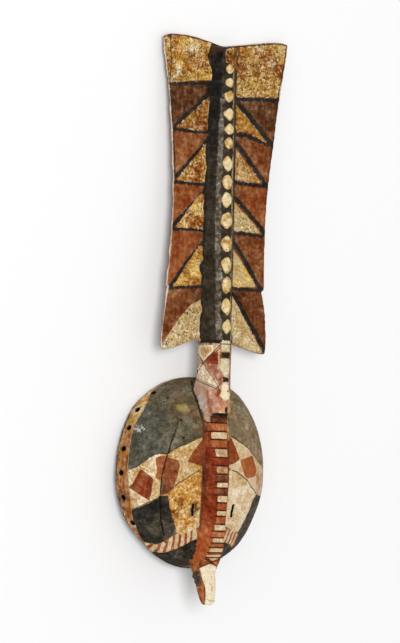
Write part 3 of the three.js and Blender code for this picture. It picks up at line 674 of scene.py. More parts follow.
    # a pale patch on the neck's side: painted highlight
    ink.lay("p", nk([(15, 139), (20, 138), (25, 131), (23.4, 117), (19.4, 119), (17, 128)]), "neck highlight", 0.6, 0.1)
    ink.lay("p", nk([(26.7, 151.4), (48.7, 152), (53, 152), (72, 150), (72, 106), (50.2, 109), (28.6, 113)]), mixed("pink", "pink brown", smooth(1.4 * noise(q, (9, 16, 9), 98, 2))), 0.85, 0.35, 0.4)
    ink.lay("p", nk([(52.5, 122), (59.6, 121.5), (60.4, 112.5), (54, 111.5)]), "lip", 0.6)
    ink.lay("p", nk([(23, 197.5), (29, 195.5), (47.6, 195), (47, 188), (57.3, 176), (54, 163), (48.8, 156.8), (47.1, 161.6), (28.5, 185.6)]), mixed("pink brown", "mauve", smooth(cloud_small)), 0.8, 0.4)
    ink.lay("k", nk([(-30, 250), (72, 250), (72, 230.4), (-30, 230.4)]), "soot", 0.3, 0.0, 0.1)
    ink.lay("k", only(np.minimum(y - 230.8, 31.5 - np.abs(px)) + 0.5 * cloud_small, is_front & (y > 226) & (y < 262)), "soot", 0.3, 0.0, 0.1)
    ink.lay("w", nk([(5.6, 229.6), (36, 229.8), (36, 227), (5.6, 226.6)]), "amber", 0.6, 0.4)
    leaf = nk([(5.8, 227), (35.7, 227), (37.4, 217), (29, 209), (21.3, 200.2), (12.4, 212)])
    ink.lay("w", leaf, mixed("white", "cream straw", smooth((leaf - 1.6) / 2.2)), 0.8, 0.5)
    ink.lay("r", nk([(21.5, 199.2), (40, 220), (49, 229), (51.5, 218), (48, 195.6), (28.8, 195.5)]), mixed("far red", "deep red", smooth(1.6 - np.hypot(uv[:, 0] - 37, (uv[:, 1] - 204) * 0.8) / 10)), 0.7, 0.4)
    ink.lay("w", nk([(37.8, 218.5), (43, 227.6), (49, 228.4), (45, 222), (40, 215.6)]), "cream pink", 0.5, 0.2)
    ink.lay("p", nk([(44, 218), (48.8, 222.5), (48.6, 195.6), (45.2, 195)]), "pink pale", 0.6)
    ink.lay("w", nk([(14.2, 194.2), (19, 194.6), (28.5, 185.6), (47.1, 161.6), (47.3, 155.4), (30, 163), (10.2, 171.1), (10.0, 177.2)]), mixed("white", "cream", smooth(0.4 + 1.3 * cloud_small)), 0.8, 0.75)
    ink.line(uv_soft, neck, [(9, 176), (20, 196.7), (37, 214.6), (46, 226)], 0.75, 0.55)
    ink.line(uv_soft, neck, [(9, 215), (20, 196.7), (30.4, 181), (41.2, 166.2), (49.5, 153)], 0.75, 0.55)
    ink.line(uv_soft, neck, [(8, 170), (16, 164.2), (32, 157.6), (48, 151.2)], 0.7, 0.6)
    # blocks down its front, dark slots between them
    ink.lay("p", nk([(64.4, 246), (76, 246), (76, 108), (61.2, 108), (64.6, 150), (65, 185)]), mixed("mauve brown", "tan", smooth((150 - y) / 30)), 0.6, 0.3)
    ink.lay("k", nk([(50.4, 216), (64.6, 216.6), (64.6, 204), (50.8, 204)]) + 0.6 * cloud_small, mixed("soot brown", "umber", smooth(0.5 + cloud_small)), 0.8, 0.2, 0.4)
    ink.lay("k", nk([(55, 173), (65, 172.5), (64.5, 164), (56, 165)]) + 1.3 * cloud_small, mixed("soot", "umber", smooth(0.5 + cloud_small)), 0.8, 0.2, 0.3)
    bump = nk([(48.8, 243), (64.3, 244), (65.1, 216), (49.8, 215.3)])
    ink.lay("w", bump, mixed("cream straw", "bloom", smooth(bump / 2.5)), 0.8, 0.5)
    bump = nk([(50.1, 204.7), (64.1, 205.5), (65.3, 185.7), (61.8, 172.4), (55.7, 174), (46.8, 188.2)])
    ink.lay("w", bump, mixed("cream straw", "bloom", smooth(bump / 2.5)), 0.8, 0.5)
    bump = nk([(54.7, 164.2), (62.3, 165.3), (66, 156.2), (64.6, 152.3), (68, 144), (66.5, 136.1), (61.9, 132.9), (55.8, 135), (50.1, 141.7), (52.2, 147.8), (52.6, 155.6)])
    ink.lay("w", bump, mixed("cream", "white", smooth(bump / 2.0)), 0.7, 0.35, 0.5)
    ink.line(uv, neck & (z > 96), [(50, 229), (65, 229.4)], 0.8, 0.1)
    ink.lay("k", nk([(60.4, 122.8), (64.1, 123), (64.4, 112.4), (60.6, 112.2)]), "soot", 0.3, 0.0)
    ink.lay("k", nk([(62.2, 150.6), (64.8, 150.8), (65, 147.6), (62.6, 147.6)]), "soot", 0.3, 0.0)
    # dark band under its lower lip, a painted shadow; and the line where it dies into the bowl, red below and umber
    # above with a dark line beside it, painted shade along the foot of the neck
    ink.lay("k", only(np.minimum(np.minimum(111.6 - y, y - 107.0 - 1.6 * smooth((6 - x) / 14)), 15 - np.abs(rx)), is_front & (z > 92)), mixed("soot", "umber", smooth(0.5 + cloud_small)), 0.5, 0.2)
    ink.lay("r", only(np.minimum(np.minimum(107.4 - y, y - 97.5), 15 - np.abs(rx)), is_front & (z > 96) & (x > -15)), mixed("tooth brown", "umber", smooth((y - 101) / 5)), 0.8, 0.4)
    seam = [(-13, 167), (-18.5, 159), (-22.5, 149), (-23.5, 138), (-23, 121), (-21.8, 106), (-20.8, 97), (-21.5, 88)]
    ink.lay("r", only(band(p, seam, 1.9), bowl & (y > 88) & (z < skin(x, y) + 5)), mixed("ridge red", "umber", smooth((y - 96) / 14)), 0.6, 0.3)
    ink.line(p, bowl & (y > 86) & (z < skin(x, y) + 3.2), [(u - 1.4, v) for u, v in seam], 0.6, 0.2)

    # -- plank
    wing = (y > 212) & (np.abs(x) > 19)
    face_z = z - plank_front(x, y)
    sheet = only(np.minimum(face_z + 1.2, 10), (y > 210) & is_front & ((np.abs(x) > 29) | (y > 236)))
    rows = mixed(mixed("ochre", "ochre orange", smooth(1.3 * cloud_small - 0.3) * 0.5), "ochre brown", smooth((y - 594) / 12) + smooth((x - 30) / 20) * (0.22 + 0.1 * (y < 330) - 0.3 * ((y > 428) & (y < 505))))
    rows = mixed(rows, "umber", smooth((56 - np.abs(x)) / 26 + 0.5 * cloud) * 0.55)
    rows = mixed(rows, "ochre orange", np.where(x < 0, 0.38 * ((y < 500) & (y > 322)), 0.32 * ((y < 505) & (y > 421))))
    rows = mixed(rows, "ochre brown", 0.35 * (y < 322))
    ink.lay("r", sheet, rows, 0.85, 0.4, 0.35)
    pl = lambda outline: np.minimum(only(area(p, outline), wing & is_front), sheet)
    bd = lambda points, half: np.minimum(only(band(p, points, half), wing & is_front), sheet)

    wings = {
        # side: outline, fresh and stained pigment, how stained, then mottle, dark specks and pale specks
        -1: [
            ([(-24, 653), (-60, 622), (-90.5, 594), (-58, 592.3), (-23, 592)], "honey", "amber dark", 0.95, 0.9, 0.75, 0.12),
            ([(-26, 573), (-31, 570), (-57, 539), (-86, 504.5), (-60, 503), (-27, 503)], "gold", "amber", 0.80, 1.15, 0.8, 0.22),
            ([(-34, 485), (-40, 482.6), (-62, 453), (-84, 424.8), (-60, 424.5), (-29, 426), (-27, 450), (-28, 472)], "gold", "amber", 0.66, 1.15, 0.85, 0.25),
            ([(-32, 395), (-38, 393.4), (-60, 361), (-83, 324.6), (-55, 327), (-33, 331), (-30, 344), (-35, 352), (-37, 362), (-32, 369), (-28, 376), (-29, 388)], "gold", "honey", 0.62, 0.9, 0.7, 0.12),
            ([(-28, 305), (-32, 303), (-50.4, 293.5), (-71.6, 267), (-90.7, 238), (-103, 217), (-60, 205), (-28, 205)], "bone", "cream straw", 0.25, 0.9, 0.95, 0.35),
        ],
        1: [
            ([(18, 647), (26.4, 641.6), (58, 611), (89.6, 579), (70, 588), (48, 596.5), (18, 594)], "honey", "amber", 0.30, 0.7, 0.45, 0.12),
            ([(16, 577), (40, 554), (60, 532.5), (81, 509.4), (58, 510.5), (35, 512.5), (16, 513)], "cream straw", "honey", 0.40, 0.9, 0.85, 0.4),
            ([(18, 486), (25, 479.5), (45, 460), (66, 442.5), (85.4, 424), (60, 424.4), (18, 427)], "bone", "cream straw", 0.40, 0.9, 0.9, 0.4),
            ([(18, 407), (24, 399.5), (45, 376.5), (66, 350), (80.4, 331.6), (55, 330), (18, 330)], "bone", "gold", 0.45, 0.7, 0.5, 0.3),
            ([(18, 322), (31.8, 312), (45, 294), (70, 258), (98, 220), (80, 203), (18, 203)], "bone", "cream straw", 0.45, 0.8, 0.75, 0.4),
        ],
    }
    outlines = {
        -1: [([(-22, 661), (-55, 631), (-92, 598.5), (-106, 586)], 3.6), ([(-20, 589.3), (-60, 589), (-104, 589)], 2.7),
             ([(-24, 580), (-52, 549), (-87, 511), (-100, 497)], 3.4), ([(-20, 500), (-55, 500), (-98, 500.5)], 2.9),
             ([(-28, 492), (-52, 465), (-86, 430), (-98, 418)], 3.4), ([(-20, 421), (-55, 421.5), (-98, 421.5)], 2.7),
             ([(-28, 403), (-52, 376), (-84, 331), (-92, 322)], 3.2), ([(-20, 327.5), (-52, 323.5), (-95, 320.5)], 2.4),
             ([(-20, 674.5), (-60, 670.5), (-112, 666)], 2.6)],
        1: [([(18, 655), (50, 626), (84, 592), (104, 574)], 4.6), ([(18, 588.5), (46, 590), (70, 583), (104, 574)], 3.6),
            ([(18, 584), (45, 560), (66, 535), (99, 499)], 3.9), ([(18, 508.5), (58, 506), (99, 504)], 3.0),
            ([(18, 494), (45, 469), (70, 447), (100, 418)], 3.7), ([(18, 422.5), (58, 420.5), (100, 419)], 2.9),
            ([(18, 418), (45, 388), (68, 357), (92, 326)], 3.8), ([(18, 325.5), (55, 326), (92, 326)], 2.8),
            ([(18, 330), (45, 301), (72, 265), (106, 222)], 4.0), ([(18, 650), (64, 653), (112, 655.5)], 3.2)],
    }
    ink.lay("k", pl([(-43, 334), (-24, 334), (-24, 396), (-38, 396)]), "soot", 0.3, 0.0, 0.1)
    for side in (-1, 1):
        for points, half in outlines[side]:
            ink.lay("k", bd(points, half), "charred", 0.35, 0.0, 0.15)
        for i, (outline, fresh, stained, share, mottle, speck, dust) in enumerate(wings[side]):
            shade_here = mixed(fresh, stained, smooth(share + 0.75 * cloud))
            if i < 4 and side < 0:
                shade_here = mixed(shade_here, "rust", smooth(1.2 * cloud_small + cloud - 0.25) * 0.65 * share)
            ink.lay("w", pl(outline), shade_here, mottle, speck, dust)
    ink.lay("w", pl([(-28, 640), (-24.5, 644), (-24.5, 593), (-28.5, 593)]), "cream straw", 0.5, 0.2)
    # the edges of the wings are outlined too
    ink.lay("k", np.minimum(only(1.3 - np.abs(plank_half(y, x) - np.abs(px) - 1.2) + 0.5 * cloud_small, (y > 505) & is_front), sheet), "charred", 0.3)
    # black right beside the foot of the ridge
    ink.lay("k", np.minimum(only(post_root(y) + np.where(px > 0, -5.0, 1.0) + 1.2 * noise(q, 16, 77) - np.abs(px), (y > 236) & is_front), sheet + 4), "soot", 0.3, 0.0, 0.08)
    # speckled cream blocks across the top
    ember = smooth(1.15 - np.hypot((x + 52) / 26, (y - 708) / 30) + 0.7 * cloud_small)
    block_left = mixed(mixed("gold", "honey", smooth(0.42 + 1.1 * cloud)), "rust", ember * 0.85)
    washed = noise(q, (19, 24, 19), 70, 2)
    block_left = mixed(block_left, "shell", smooth(1.5 * washed - 0.15) * (1 - ember) * 0.55)
    block_left = mixed(block_left, "rim orange", smooth(1.3 * noise(q, 24, 71, 2) - 0.2) * 0.6)
    ink.lay("w", pl([(-140, 666), (-104.5, 668.9), (-77, 672.2), (-47, 677.4), (-22, 680), (-24, 697), (-31, 712), (-33, 724), (-20, 742), (-18, 775), (-140, 775)]), block_left, 1.1, 1.0, 0.5)
    ember = smooth(0.35 + 0.8 * cloud + 0.9 * cloud_small)
    block_right = mixed(mixed("straw", "amber", smooth(0.42 + 1.1 * cloud)), "rust", ember * smooth((742 - y) / 14) * 0.5)
    block_right = mixed(block_right, "shell", smooth(1.5 * washed - 0.3 + 0.4 * smooth((x - 40) / 60)) * 0.4)
    block_right = mixed(block_right, "rim orange", smooth(1.5 * noise(q, 22, 72, 2) - 0.1 - 0.5 * smooth((x - 60) / 50)) * 0.6)
    ink.lay("w", pl([(14, 654), (60, 657), (130, 661), (140, 775), (8, 775), (10, 730)]), block_right, 1.1, 1.0, 0.5)
    strip = mixed("amber", "straw", smooth(0.45 + 1.5 * cloud_small))
    ink.lay("w", pl([(-140, 655), (-109, 655), (-107.5, 700), (-108.5, 725), (-110.5, 775), (-140, 775)]), strip, 1.2, 0.7, 0.7)
    ink.line(p, wing & is_front, [(-109.4, 745), (-107.6, 725), (-106.6, 704), (-106.4, 684), (-107.6, 668)], 0.9, 0.15)
    # a dark line along the top edge: partly paint, partly painted shade where the rounded edge turns away
    top_line = [(u * (123.5 if u > 0 else 122.1), v - 2.2) for u, v in ((-1, 746), (-.93, 750.3), (-.82, 752.1), (-.62, 752.2), (-.44, 750), (-.24, 745.8), (0, 738.5), (.24, 744), (.44, 748), (.62, 751.2), (.82, 754), (.93, 754), (1, 751.5))]
    ink.line(p, is_front & (y > 720), top_line, 1.0, 0.2)
    ink.line(p, is_front & (x > 90), [(121.5, 752), (117.5, 725), (112.6, 695), (107.6, 664), (104, 640)], 1.0, 0.25)
    ink.lay("k", only(area(p, [(-31, 724), (-27, 719), (-6, 733), (-8, 746), (-24, 750)]), (y > 690) & is_front & (x < -6)), "umber", 0.4, 0.1)

    # -- ridge of the plank
    post = is_front & (y > 236)
    ink.lay("k", only(np.minimum(post_root(y) - np.abs(px), 12), post & (z > plank_front(x, y) + 1.5) & (y < 712 + (x + 31) * 0.9)), mixed("soot", "soot brown", smooth((640 - y) / 200)), 0.45, 0.1, 0.2)
    brow = post & (z > post_front(y) - 5)
    ph = post_half(y)
    inner = np.minimum(ph + 0.2 - np.abs(px), 12)
    ink.lay("k", only(inner, brow), "soot brown", 0.4, 0.0, 0.2)
    worn = np.minimum(px + ph + 0.1, -px - ph + 9.0 - 5.5 * smooth((y - 560) / 90) + 1.6 * noise(q, (9, 26, 9), 85))
    ink.lay("k", only(np.minimum(worn, inner + 0.6), brow & (y < 700)), mixed("worn grey", "soot brown", smooth((y - 600) / 80)), 1.1, 0.35, 0.7)
    ink.lay("k", only(np.minimum(px - ph + 1.3, ph + 2.2 - px) + 0.5 * cloud_small, brow & (y < 700)), mixed("bone", "worn grey", smooth(0.35 + 1.3 * cloud_small)), 1.0, 0.3, 0.6)
    ink.lay("k", only(np.minimum(px - ph - 0.4, post_root(y) + 1.0 - px), post & (z < post_front(y) + 3) & (z > plank_front(x, y) - 1) & (y < 702)), mixed("soot brown", "flank worn", smooth((px - ph - 9.5) / -7 + 0.5 * cloud_small)), 0.6, 0.3, 0.4)
    ink.lay("w", only(np.minimum(px - ph - 0.4, post_root(y) + 1.0 - px), post & (z > plank_front(x, y) - 1) & (y >= 702)), mixed("honey", "amber dark", smooth(0.5 + cloud_small)), 1.1, 0.8, 0.4)
    for i, v in enumerate(LOZENGE_Y):
        up = LOZENGE_Y[i - 1] - v if i else 20
        down = v - LOZENGE_Y[i + 1] if i < len(LOZENGE_Y) - 1 else 30
        tall = float(np.clip(0.5 * min(up, down), 5.5, 17)) * 0.98
        half = float(post_half(v))
        inner_edge = -half + 8.6 - 4.0 * float(smooth((v - 560) / 90))
        wide, mid_x = (half - 0.2 - inner_edge) / 2, (half - 0.2 + inner_edge) / 2
        s = (1 - ((np.abs(px - mid_x - 0.5) / (wide - 0.3)) ** 1.6 + (np.abs(py - v) / (tall * 0.86)) ** 1.8) ** (1 / 1.7)) * min(wide, tall) + 1.2 * cloud_small - 0.35
        fade = smooth(0.3 * ((i * 7) % 5 - 1) / 2 + 0.9 * cloud_small)
        faint = i < 2
        fade = np.maximum(fade, smooth((2.6 - s) / 2.2) * 0.8)
        ink.lay("w", only(s, brow), mixed("honey" if faint else "shell", "amber" if faint else "straw", fade), 1.1 if faint else 0.9, 0.8 if faint else 0.5, 0.5)
    # top end of the ridge is stained like the block beside it
    ink.lay("w", only(np.minimum(area(p, [(-9, 706), (16, 706), (14, 745), (-4, 736)]), 6), brow) - 1.2 + 2.6 * noise(q, 7, 87, 2), mixed("honey", "amber dark", smooth(0.5 + cloud_small)), 1.2, 0.9, 0.5)

    # -- long crack, and the thin painted lines
    ink.line(q[:, :2], bowl & left & (y < 110), [(-60.5, 101), (-64.5, 92), (-69.2, 80)], 0.45, 0.15)
    ink.line(q[:, :2], bowl & left & (y < 110), CRACK, 1.0, 0.0)
    ink.line(p, bowl, [(-76.9, -20), (-74.8, -18.3), (-66.1, -8.2), (-48.2, 4.3), (-28.6, 14.6), (-20, 18)], 0.75, 0.5)
    ink.line(p, bowl, [(-71, -14.9), (-58.6, -3.3), (-46, 4.4)], 0.55, 0.6)
    ink.line(p, bowl, [(20.7, 18), (42.5, 14), (55, 7.5), (68.9, -0.6), (82.1, -11.9), (104.2, -26)], 0.9, 0.3)
    ink.line(p, bowl & (above > 0), [(-122.2, -57.4), (-108.6, -45), (-92, -32.4)], 0.8, 0.3)
    ink.line(p, bowl & (above > 0), [(-130, 13), (-118.8, 23.4), (-104.2, 37), (-97, 40), (-86, 40), (-76, 46), (-66, 53), (-55, 56.5), (-40, 64)], 0.7, 0.3)
    ink.line(p, bowl, [(35.2, 74), (56.2, 64), (72.4, 54.5), (83.8, 44.5), (107, 29)], 0.8, 0.4)

    # -- holes and eye slits: their walls are painted near black, painted shade inside them
    for hx, hy, (dx, dy) in tie_holes():
        w = q - np.array([hx, hy, HOLE_Z])
        along = w[:, 0] * dx + w[:, 1] * dy
        perp = np.sqrt((w[:, 0] - along * dx) ** 2 + (w[:, 1] - along * dy) ** 2 + w[:, 2] ** 2)
        ink.lay("k", only(5.0 - perp, (along > -20) & (along < 4) & (y < 180)), "hole shade", 0.2, 0.0, 0.0)
    for sx, lean in ((-37.0, 0.055), (41.5, -0.03)):
        s = np.minimum((2.3 if sx < 0 else 3.0) - np.abs(x - sx - lean * (-53 - y)), 11.3 - np.abs(y + 53))
        ink.lay("k", only(s, (z > 60) & (y < 0)), "hole shade", 0.2, 0.0, 0.0)

    # -- how convex or hollow the surface is: wear on the crests, dirt and painted shade in the hollows
    pairs = edge_pairs(me)
    lap = neighbour_mean(q, pairs, count) - q
    bend = (lap * n).sum(1)
    length = np.linalg.norm(q[pairs[:, 0]] - q[pairs[:, 1]], axis=1)
    mean_len = (np.bincount(pairs[:, 0], length, count) + np.bincount(pairs[:, 1], length, count)) / np.maximum(np.bincount(pairs.ravel(), minlength=count), 1)
    bend = bend / np.maximum(mean_len, 0.2) ** 2
    for _ in range(2):
        bend = 0.5 * bend + 0.5 * neighbour_mean(bend[:, None], pairs, count)[:, 0]
    hollow = np.clip(bend / 0.10, 0, 1)
    crest = np.clip(-bend / 0.10, 0, 1)

    # a pale rubbed place on the charcoal
    rub = np.where(bowl, np.clip(1.2 - np.hypot(x + 118.7, (y - 80) * 0.9) / 11, 0, 1), 0)

    def store(name, values):
        att = me.attributes.new(name, "FLOAT", "POINT")
        att.data.foreach_set("value", np.asarray(values, np.float32))

    for c in "wrkpb":
        if c != "b":
            store("d_" + c, np.clip(ink.d[c], -20, 20))
        att = me.attributes.new("c_" + c, "FLOAT_VECTOR", "POINT")
        att.data.foreach_set("vector", np.clip(ink.colour[c], 0.001, 0.95).astype(np.float32).ravel())
    store("mottle", ink.mottle)
    store("speck", ink.speck)
    store("dust", ink.dust)
    store("line_side", np.clip(ink.line_side, -20, 20))
    store("line_dist", np.clip(ink.line_dist, 0, 20))
    store("line_half", ink.line_half)
    store("line_tone", ink.line_tone)
    store("hollow", hollow)
    store("crest", crest)
    store("rub", rub)


def stripes(ink, face, top, low, cuts, pale, dark):
    """Alternating pale and dark stripes across a band between two lines."""
    tp, lp = np.asarray(top, float), np.asarray(low, float)

    def along(pts, t):
        d = np.concatenate([[0], np.cumsum(np.linalg.norm(np.diff(pts, axis=0), axis=1))])
        return (float(np.interp(t * d[-1], d, pts[:, 0])), float(np.interp(t * d[-1], d, pts[:, 1])))

    ink.lay("w", face(list(top) + list(low)[::-1]), pale, 0.7, 0.3)
    for a, b in zip(cuts[1::2], cuts[2::2]):
        quad = [along(tp, a), along(tp, (a + b) / 2), along(tp, b), along(lp, b), along(lp, (a + b) / 2), along(lp, a)]
        ink.lay("r", face(quad), dark, 0.9, 0.35, 0.4)


# ------------------------------------------------------------------ material

class Nodes:
    def __init__(self, name):
        self.mat = bpy.data.materials.new(name)
        self.mat.use_nodes = True
        self.t = self.mat.node_tree
        self.t.nodes.clear()
        self.coord = self.t.nodes.new("ShaderNodeTexCoord")

    def link(self, a, b):
        self.t.links.new(a, b)

    def put(self, value, socket):
        if hasattr(value, "is_output") or isinstance(value, bpy.types.NodeSocket):
            self.link(value, socket)
        elif value is not None:
            socket.default_value = value

    def math(self, op, a, b=None, c=None, clamp=False):
        m = self.t.nodes.new("ShaderNodeMath")
        m.operation = op
        m.use_clamp = clamp
        for value, socket in zip((a, b, c), m.inputs):
            self.put(value, socket)
        return m.outputs[0]

    def att(self, name):
        a = self.t.nodes.new("ShaderNodeAttribute")
        a.attribute_name = name
        return a.outputs["Fac"]

    def vector(self, name):
        a = self.t.nodes.new("ShaderNodeAttribute")
        a.attribute_name = name
        return a.outputs["Color"]

    def noise(self, size_mm, detail=3.0, rough=0.55, stretch=None, shift=0.0, distort=0.0):
        m = self.t.nodes.new("ShaderNodeMapping")
        sx, sy, sz = stretch or (1, 1, 1)
        k = 1000.0 / size_mm
        m.inputs["Scale"].default_value = (k / sx, k / sy, k / sz)
        m.inputs["Location"].default_value = (shift, shift * 0.7, shift * 1.3)
        self.link(self.coord.outputs["Object"], m.inputs["Vector"])
        n = self.t.nodes.new("ShaderNodeTexNoise")
        n.inputs["Scale"].default_value = 1.0
        n.inputs["Detail"].default_value = detail
        n.inputs["Roughness"].default_value = rough
        n.inputs["Distortion"].default_value = distort
        self.link(m.outputs["Vector"], n.inputs["Vector"])
        return n.outputs["Fac"]

    def ramp(self, value, lo, hi):
        """0 at lo, 1 at hi, smooth between."""
        r = self.t.nodes.new("ShaderNodeMapRange")
        r.interpolation_type = "SMOOTHSTEP"
        self.put(value, r.inputs["Value"])
        self.put(lo, r.inputs["From Min"])
        self.put(hi, r.inputs["From Max"])
        return r.outputs["Result"]

    def linear(self, value, lo, hi, to_lo=0.0, to_hi=1.0, clamp=True):
        r = self.t.nodes.new("ShaderNodeMapRange")
        r.clamp = clamp
        self.put(value, r.inputs["Value"])
        self.put(lo, r.inputs["From Min"])
        self.put(hi, r.inputs["From Max"])
        self.put(to_lo, r.inputs["To Min"])
        self.put(to_hi, r.inputs["To Max"])
        return r.outputs["Result"]

    def mix(self, fac, a, b, blend="MIX"):
        m = self.t.nodes.new("ShaderNodeMix")
        m.data_type = "RGBA"
        m.blend_type = blend
        m.clamp_factor = True
        self.put(fac, m.inputs[0])
        self.put(a if not isinstance(a, tuple) else (*a, 1.0)[:4], m.inputs[6])
        self.put(b if not isinstance(b, tuple) else (*b, 1.0)[:4], m.inputs[7])
        return m.outputs[2]

    def mixf(self, fac, a, b):
        m = self.t.nodes.new("ShaderNodeMix")
        m.data_type = "FLOAT"
        m.clamp_factor = True
        self.put(fac, m.inputs[0])
        self.put(a, m.inputs[2])
        self.put(b, m.inputs[3])
        return m.outputs[0]

    def shades(self, value, stops):
        r = self.t.nodes.new("ShaderNodeValToRGB")
        e = r.color_ramp.elements
        while len(e) > 1:
            e.remove(e[-1])
        e[0].position, e[0].color = stops[0][0], (*stops[0][1], 1)
        for pos, col in stops[1:]:
            k = e.new(pos)
            k.color = (*col, 1)
        self.put(value, r.inputs["Fac"])
        return r.outputs["Color"]


def painted_wood():
    g = Nodes("painted_wood_worn")
    m = g.math

    def signal(*args, **kw):
        """Noise about 0 with a spread of about 1."""
        return m("MULTIPLY", m("SUBTRACT", g.noise(*args, **kw), 0.5), 10.0)

    def weighted(*pairs):
        total = None
        for value, weight in pairs:
            total = m("MULTIPLY_ADD", value, weight, total if total is not None else 0.0)
        return total

    fine = signal(3.2, 4, 0.70)
    small = signal(6.5, 4, 0.62, shift=3.1)
    mid = signal(15, 4, 0.6, shift=7.7)
    large = signal(40, 4, 0.55, shift=1.9)
    grain = signal(4.0, 5, 0.6, stretch=(1, 14, 1), shift=5.5, distort=0.3)
    grain_wide = signal(11, 4, 0.6, stretch=(1, 9, 1), shift=2.5, distort=0.6)
    spots_a = signal(3.1, 3, 0.68, stretch=(1, 1.4, 1), shift=17.0)
    spots_b = signal(7.5, 5, 0.68, shift=23.0)
    spots_c = signal(5.0, 4, 0.65, shift=11.3)

    # ragged edges in mm
    rag = weighted((small, 0.30), (fine, 0.20))

    def mask(name, grow, soft=0.35, amount=1.0):
        d = m("ADD", g.att(name), m("MULTIPLY_ADD", rag, amount, grow))
        return g.ramp(d, -soft, soft)

    mottle, speck, dust = g.att("mottle"), g.att("speck"), g.att("dust")

    def layer(name, swing, *pairs):
        """A pigment that wanders darker and warmer, or paler, about its base colour."""
        node = g.t.nodes.new("ShaderNodeGamma")
        g.link(g.vector("c_" + name), node.inputs["Color"])
        power = m("MULTIPLY_ADD", m("MULTIPLY", weighted(*pairs), mottle), swing, 1.0)
        g.link(m("MAXIMUM", power, 0.3), node.inputs["Gamma"])
        return node.outputs["Color"]

    def over(base, name, amount):
        return g.mix(amount, base, g.mix(1.0, base, name, "MULTIPLY"))

    few = g.linear(speck, 0.0, 1.0, 2.7, 0.55)
    few_hi = m("ADD", few, 0.35)
    dark_a = g.ramp(spots_a, few, few_hi)
    dark_b = g.ramp(spots_b, m("ADD", few, 0.2), m("ADD", few, 0.7))
    many = g.linear(dust, 0.0, 1.0, 2.9, 0.9)
    pale_c = g.ramp(spots_c, many, m("ADD", many, 0.5))

    # bare wood
    bare = layer("b", 0.36, (grain, 0.60), (mid, 0.45), (large, 0.40), (small, 0.35))
    bare = g.mix(m("MULTIPLY", pale_c, 0.6), bare, (0.52, 0.40, 0.25))
    bare = over(bare, (0.45, 0.36, 0.30), m("MULTIPLY", g.ramp(grain, 0.9, 2.0), 0.6))

    # red ochre
    red = layer("r", 0.36, (grain, 0.20), (small, 0.40), (mid, 0.42), (large, 0.30))
    red = g.mix(m("MULTIPLY", pale_c, 0.40), red, (0.40, 0.19, 0.075))
    red = g.mix(m("MULTIPLY", dark_b, 0.75), red, (0.030, 0.016, 0.010))

    # charcoal and soot black
    black = layer("k", 0.34, (fine, 0.35), (small, 0.50), (mid, 0.45), (large, 0.40))
    black = g.mix(m("MULTIPLY", pale_c, 0.60), black, g.mix(0.6, black, (0.36, 0.32, 0.24)))
    black = g.mix(m("MULTIPLY", dark_b, 0.65), black, (0.020, 0.017, 0.013))
    rubbed = m("MULTIPLY", g.ramp(m("ADD", g.att("rub"), m("MULTIPLY", spots_c, 0.45)), 0.85, 1.25), g.ramp(g.att("rub"), 0.02, 0.15))
    black = g.mix(m("MULTIPLY", rubbed, 0.9), black, (0.50, 0.49, 0.44))

    # pink and mauve wash
    pink = layer("p", 0.45, (grain, 0.30), (small, 0.50), (mid, 0.35))
    pink = g.mix(m("MULTIPLY", pale_c, 0.5), pink, (0.60, 0.47, 0.35))
    pink = g.mix(m("MULTIPLY", dark_b, 0.6), pink, (0.10, 0.05, 0.03))

    # yellowed white earth, stained and speckled
    white = layer("w", 0.50, (small, 0.50), (fine, 0.65), (mid, 0.34), (large, 0.15))
    lift = g.t.nodes.new("ShaderNodeGamma")
    lift.inputs["Gamma"].default_value = 0.60
    g.link(g.vector("c_w"), lift.inputs["Color"])
    white = g.mix(m("MULTIPLY", pale_c, 0.60), white, lift.outputs["Color"])
    white = g.mix(m("MULTIPLY", dark_b, 0.80), white, g.mix(g.ramp(mid, -0.8, 0.8), (0.060, 0.032, 0.016), (0.20, 0.065, 0.020)))
    white = g.mix(m("MULTIPLY", dark_a, 0.85), white, (0.044, 0.030, 0.016))

    line_col = g.shades(g.att("line_tone"), [(0.0, (0.006, 0.005, 0.004)), (0.3, (0.045, 0.026, 0.015)), (1.0, (0.20, 0.10, 0.045))])

    # layers: wash, red, black, then white
    m_p = mask("d_p", 0.5, 0.4, 0.7)
    m_r = mask("d_r", 0.7, 0.4, 0.8)
    m_k = mask("d_k", 0.3, 0.7, 0.9)
    m_w = mask("d_w", 0.1, 0.3, 1.0)
    col = g.mix(m_p, bare, pink)
    col = g.mix(m_r, col, red)
    col = g.mix(m_k, col, black)
    col = g.mix(m_w, col, white)

    # thin lines and the crack
    half = m("MULTIPLY_ADD", rag, 0.30, g.att("line_half"))
    across = m("ABSOLUTE", g.att("line_side"))
    in_line = m("MULTIPLY", g.ramp(across, m("ADD", half, 0.35), m("SUBTRACT", half, 0.35)), g.ramp(g.att("line_dist"), m("ADD", half, 1.6), m("ADD", half, 0.9)))
    col = g.mix(m("MULTIPLY", in_line, 0.92), col, line_col)

    # dirt in the hollows, darkened further as painted shade; paint rubbed thin on the crests
    col = over(col, (0.36, 0.30, 0.25), m("MULTIPLY", g.att("hollow"), 0.5))
    thin = m("MULTIPLY", g.ramp(m("ADD", g.att("crest"), m("MULTIPLY", small, 0.14)), 0.55, 0.95), 0.45)
    col = g.mix(thin, col, g.mix(0.5, col, (0.42, 0.31, 0.22)))

    # height in mm for the bump
    height = m("MULTIPLY", m_w, 0.30)
    height = m("MULTIPLY_ADD", m_k, 0.05, height)
    height = m("MULTIPLY_ADD", m("MULTIPLY", dark_b, m_w), -0.25, height)
    height = weighted((fine, 0.030), (small, 0.045), (grain, 0.032), (grain_wide, 0.040), (height, 1.0))
    height = m("MULTIPLY_ADD", in_line, -0.35, height)
    bump = g.t.nodes.new("ShaderNodeBump")
    bump.inputs["Strength"].default_value = 0.9
    bump.inputs["Distance"].default_value = 0.001
    g.link(height, bump.inputs["Height"])

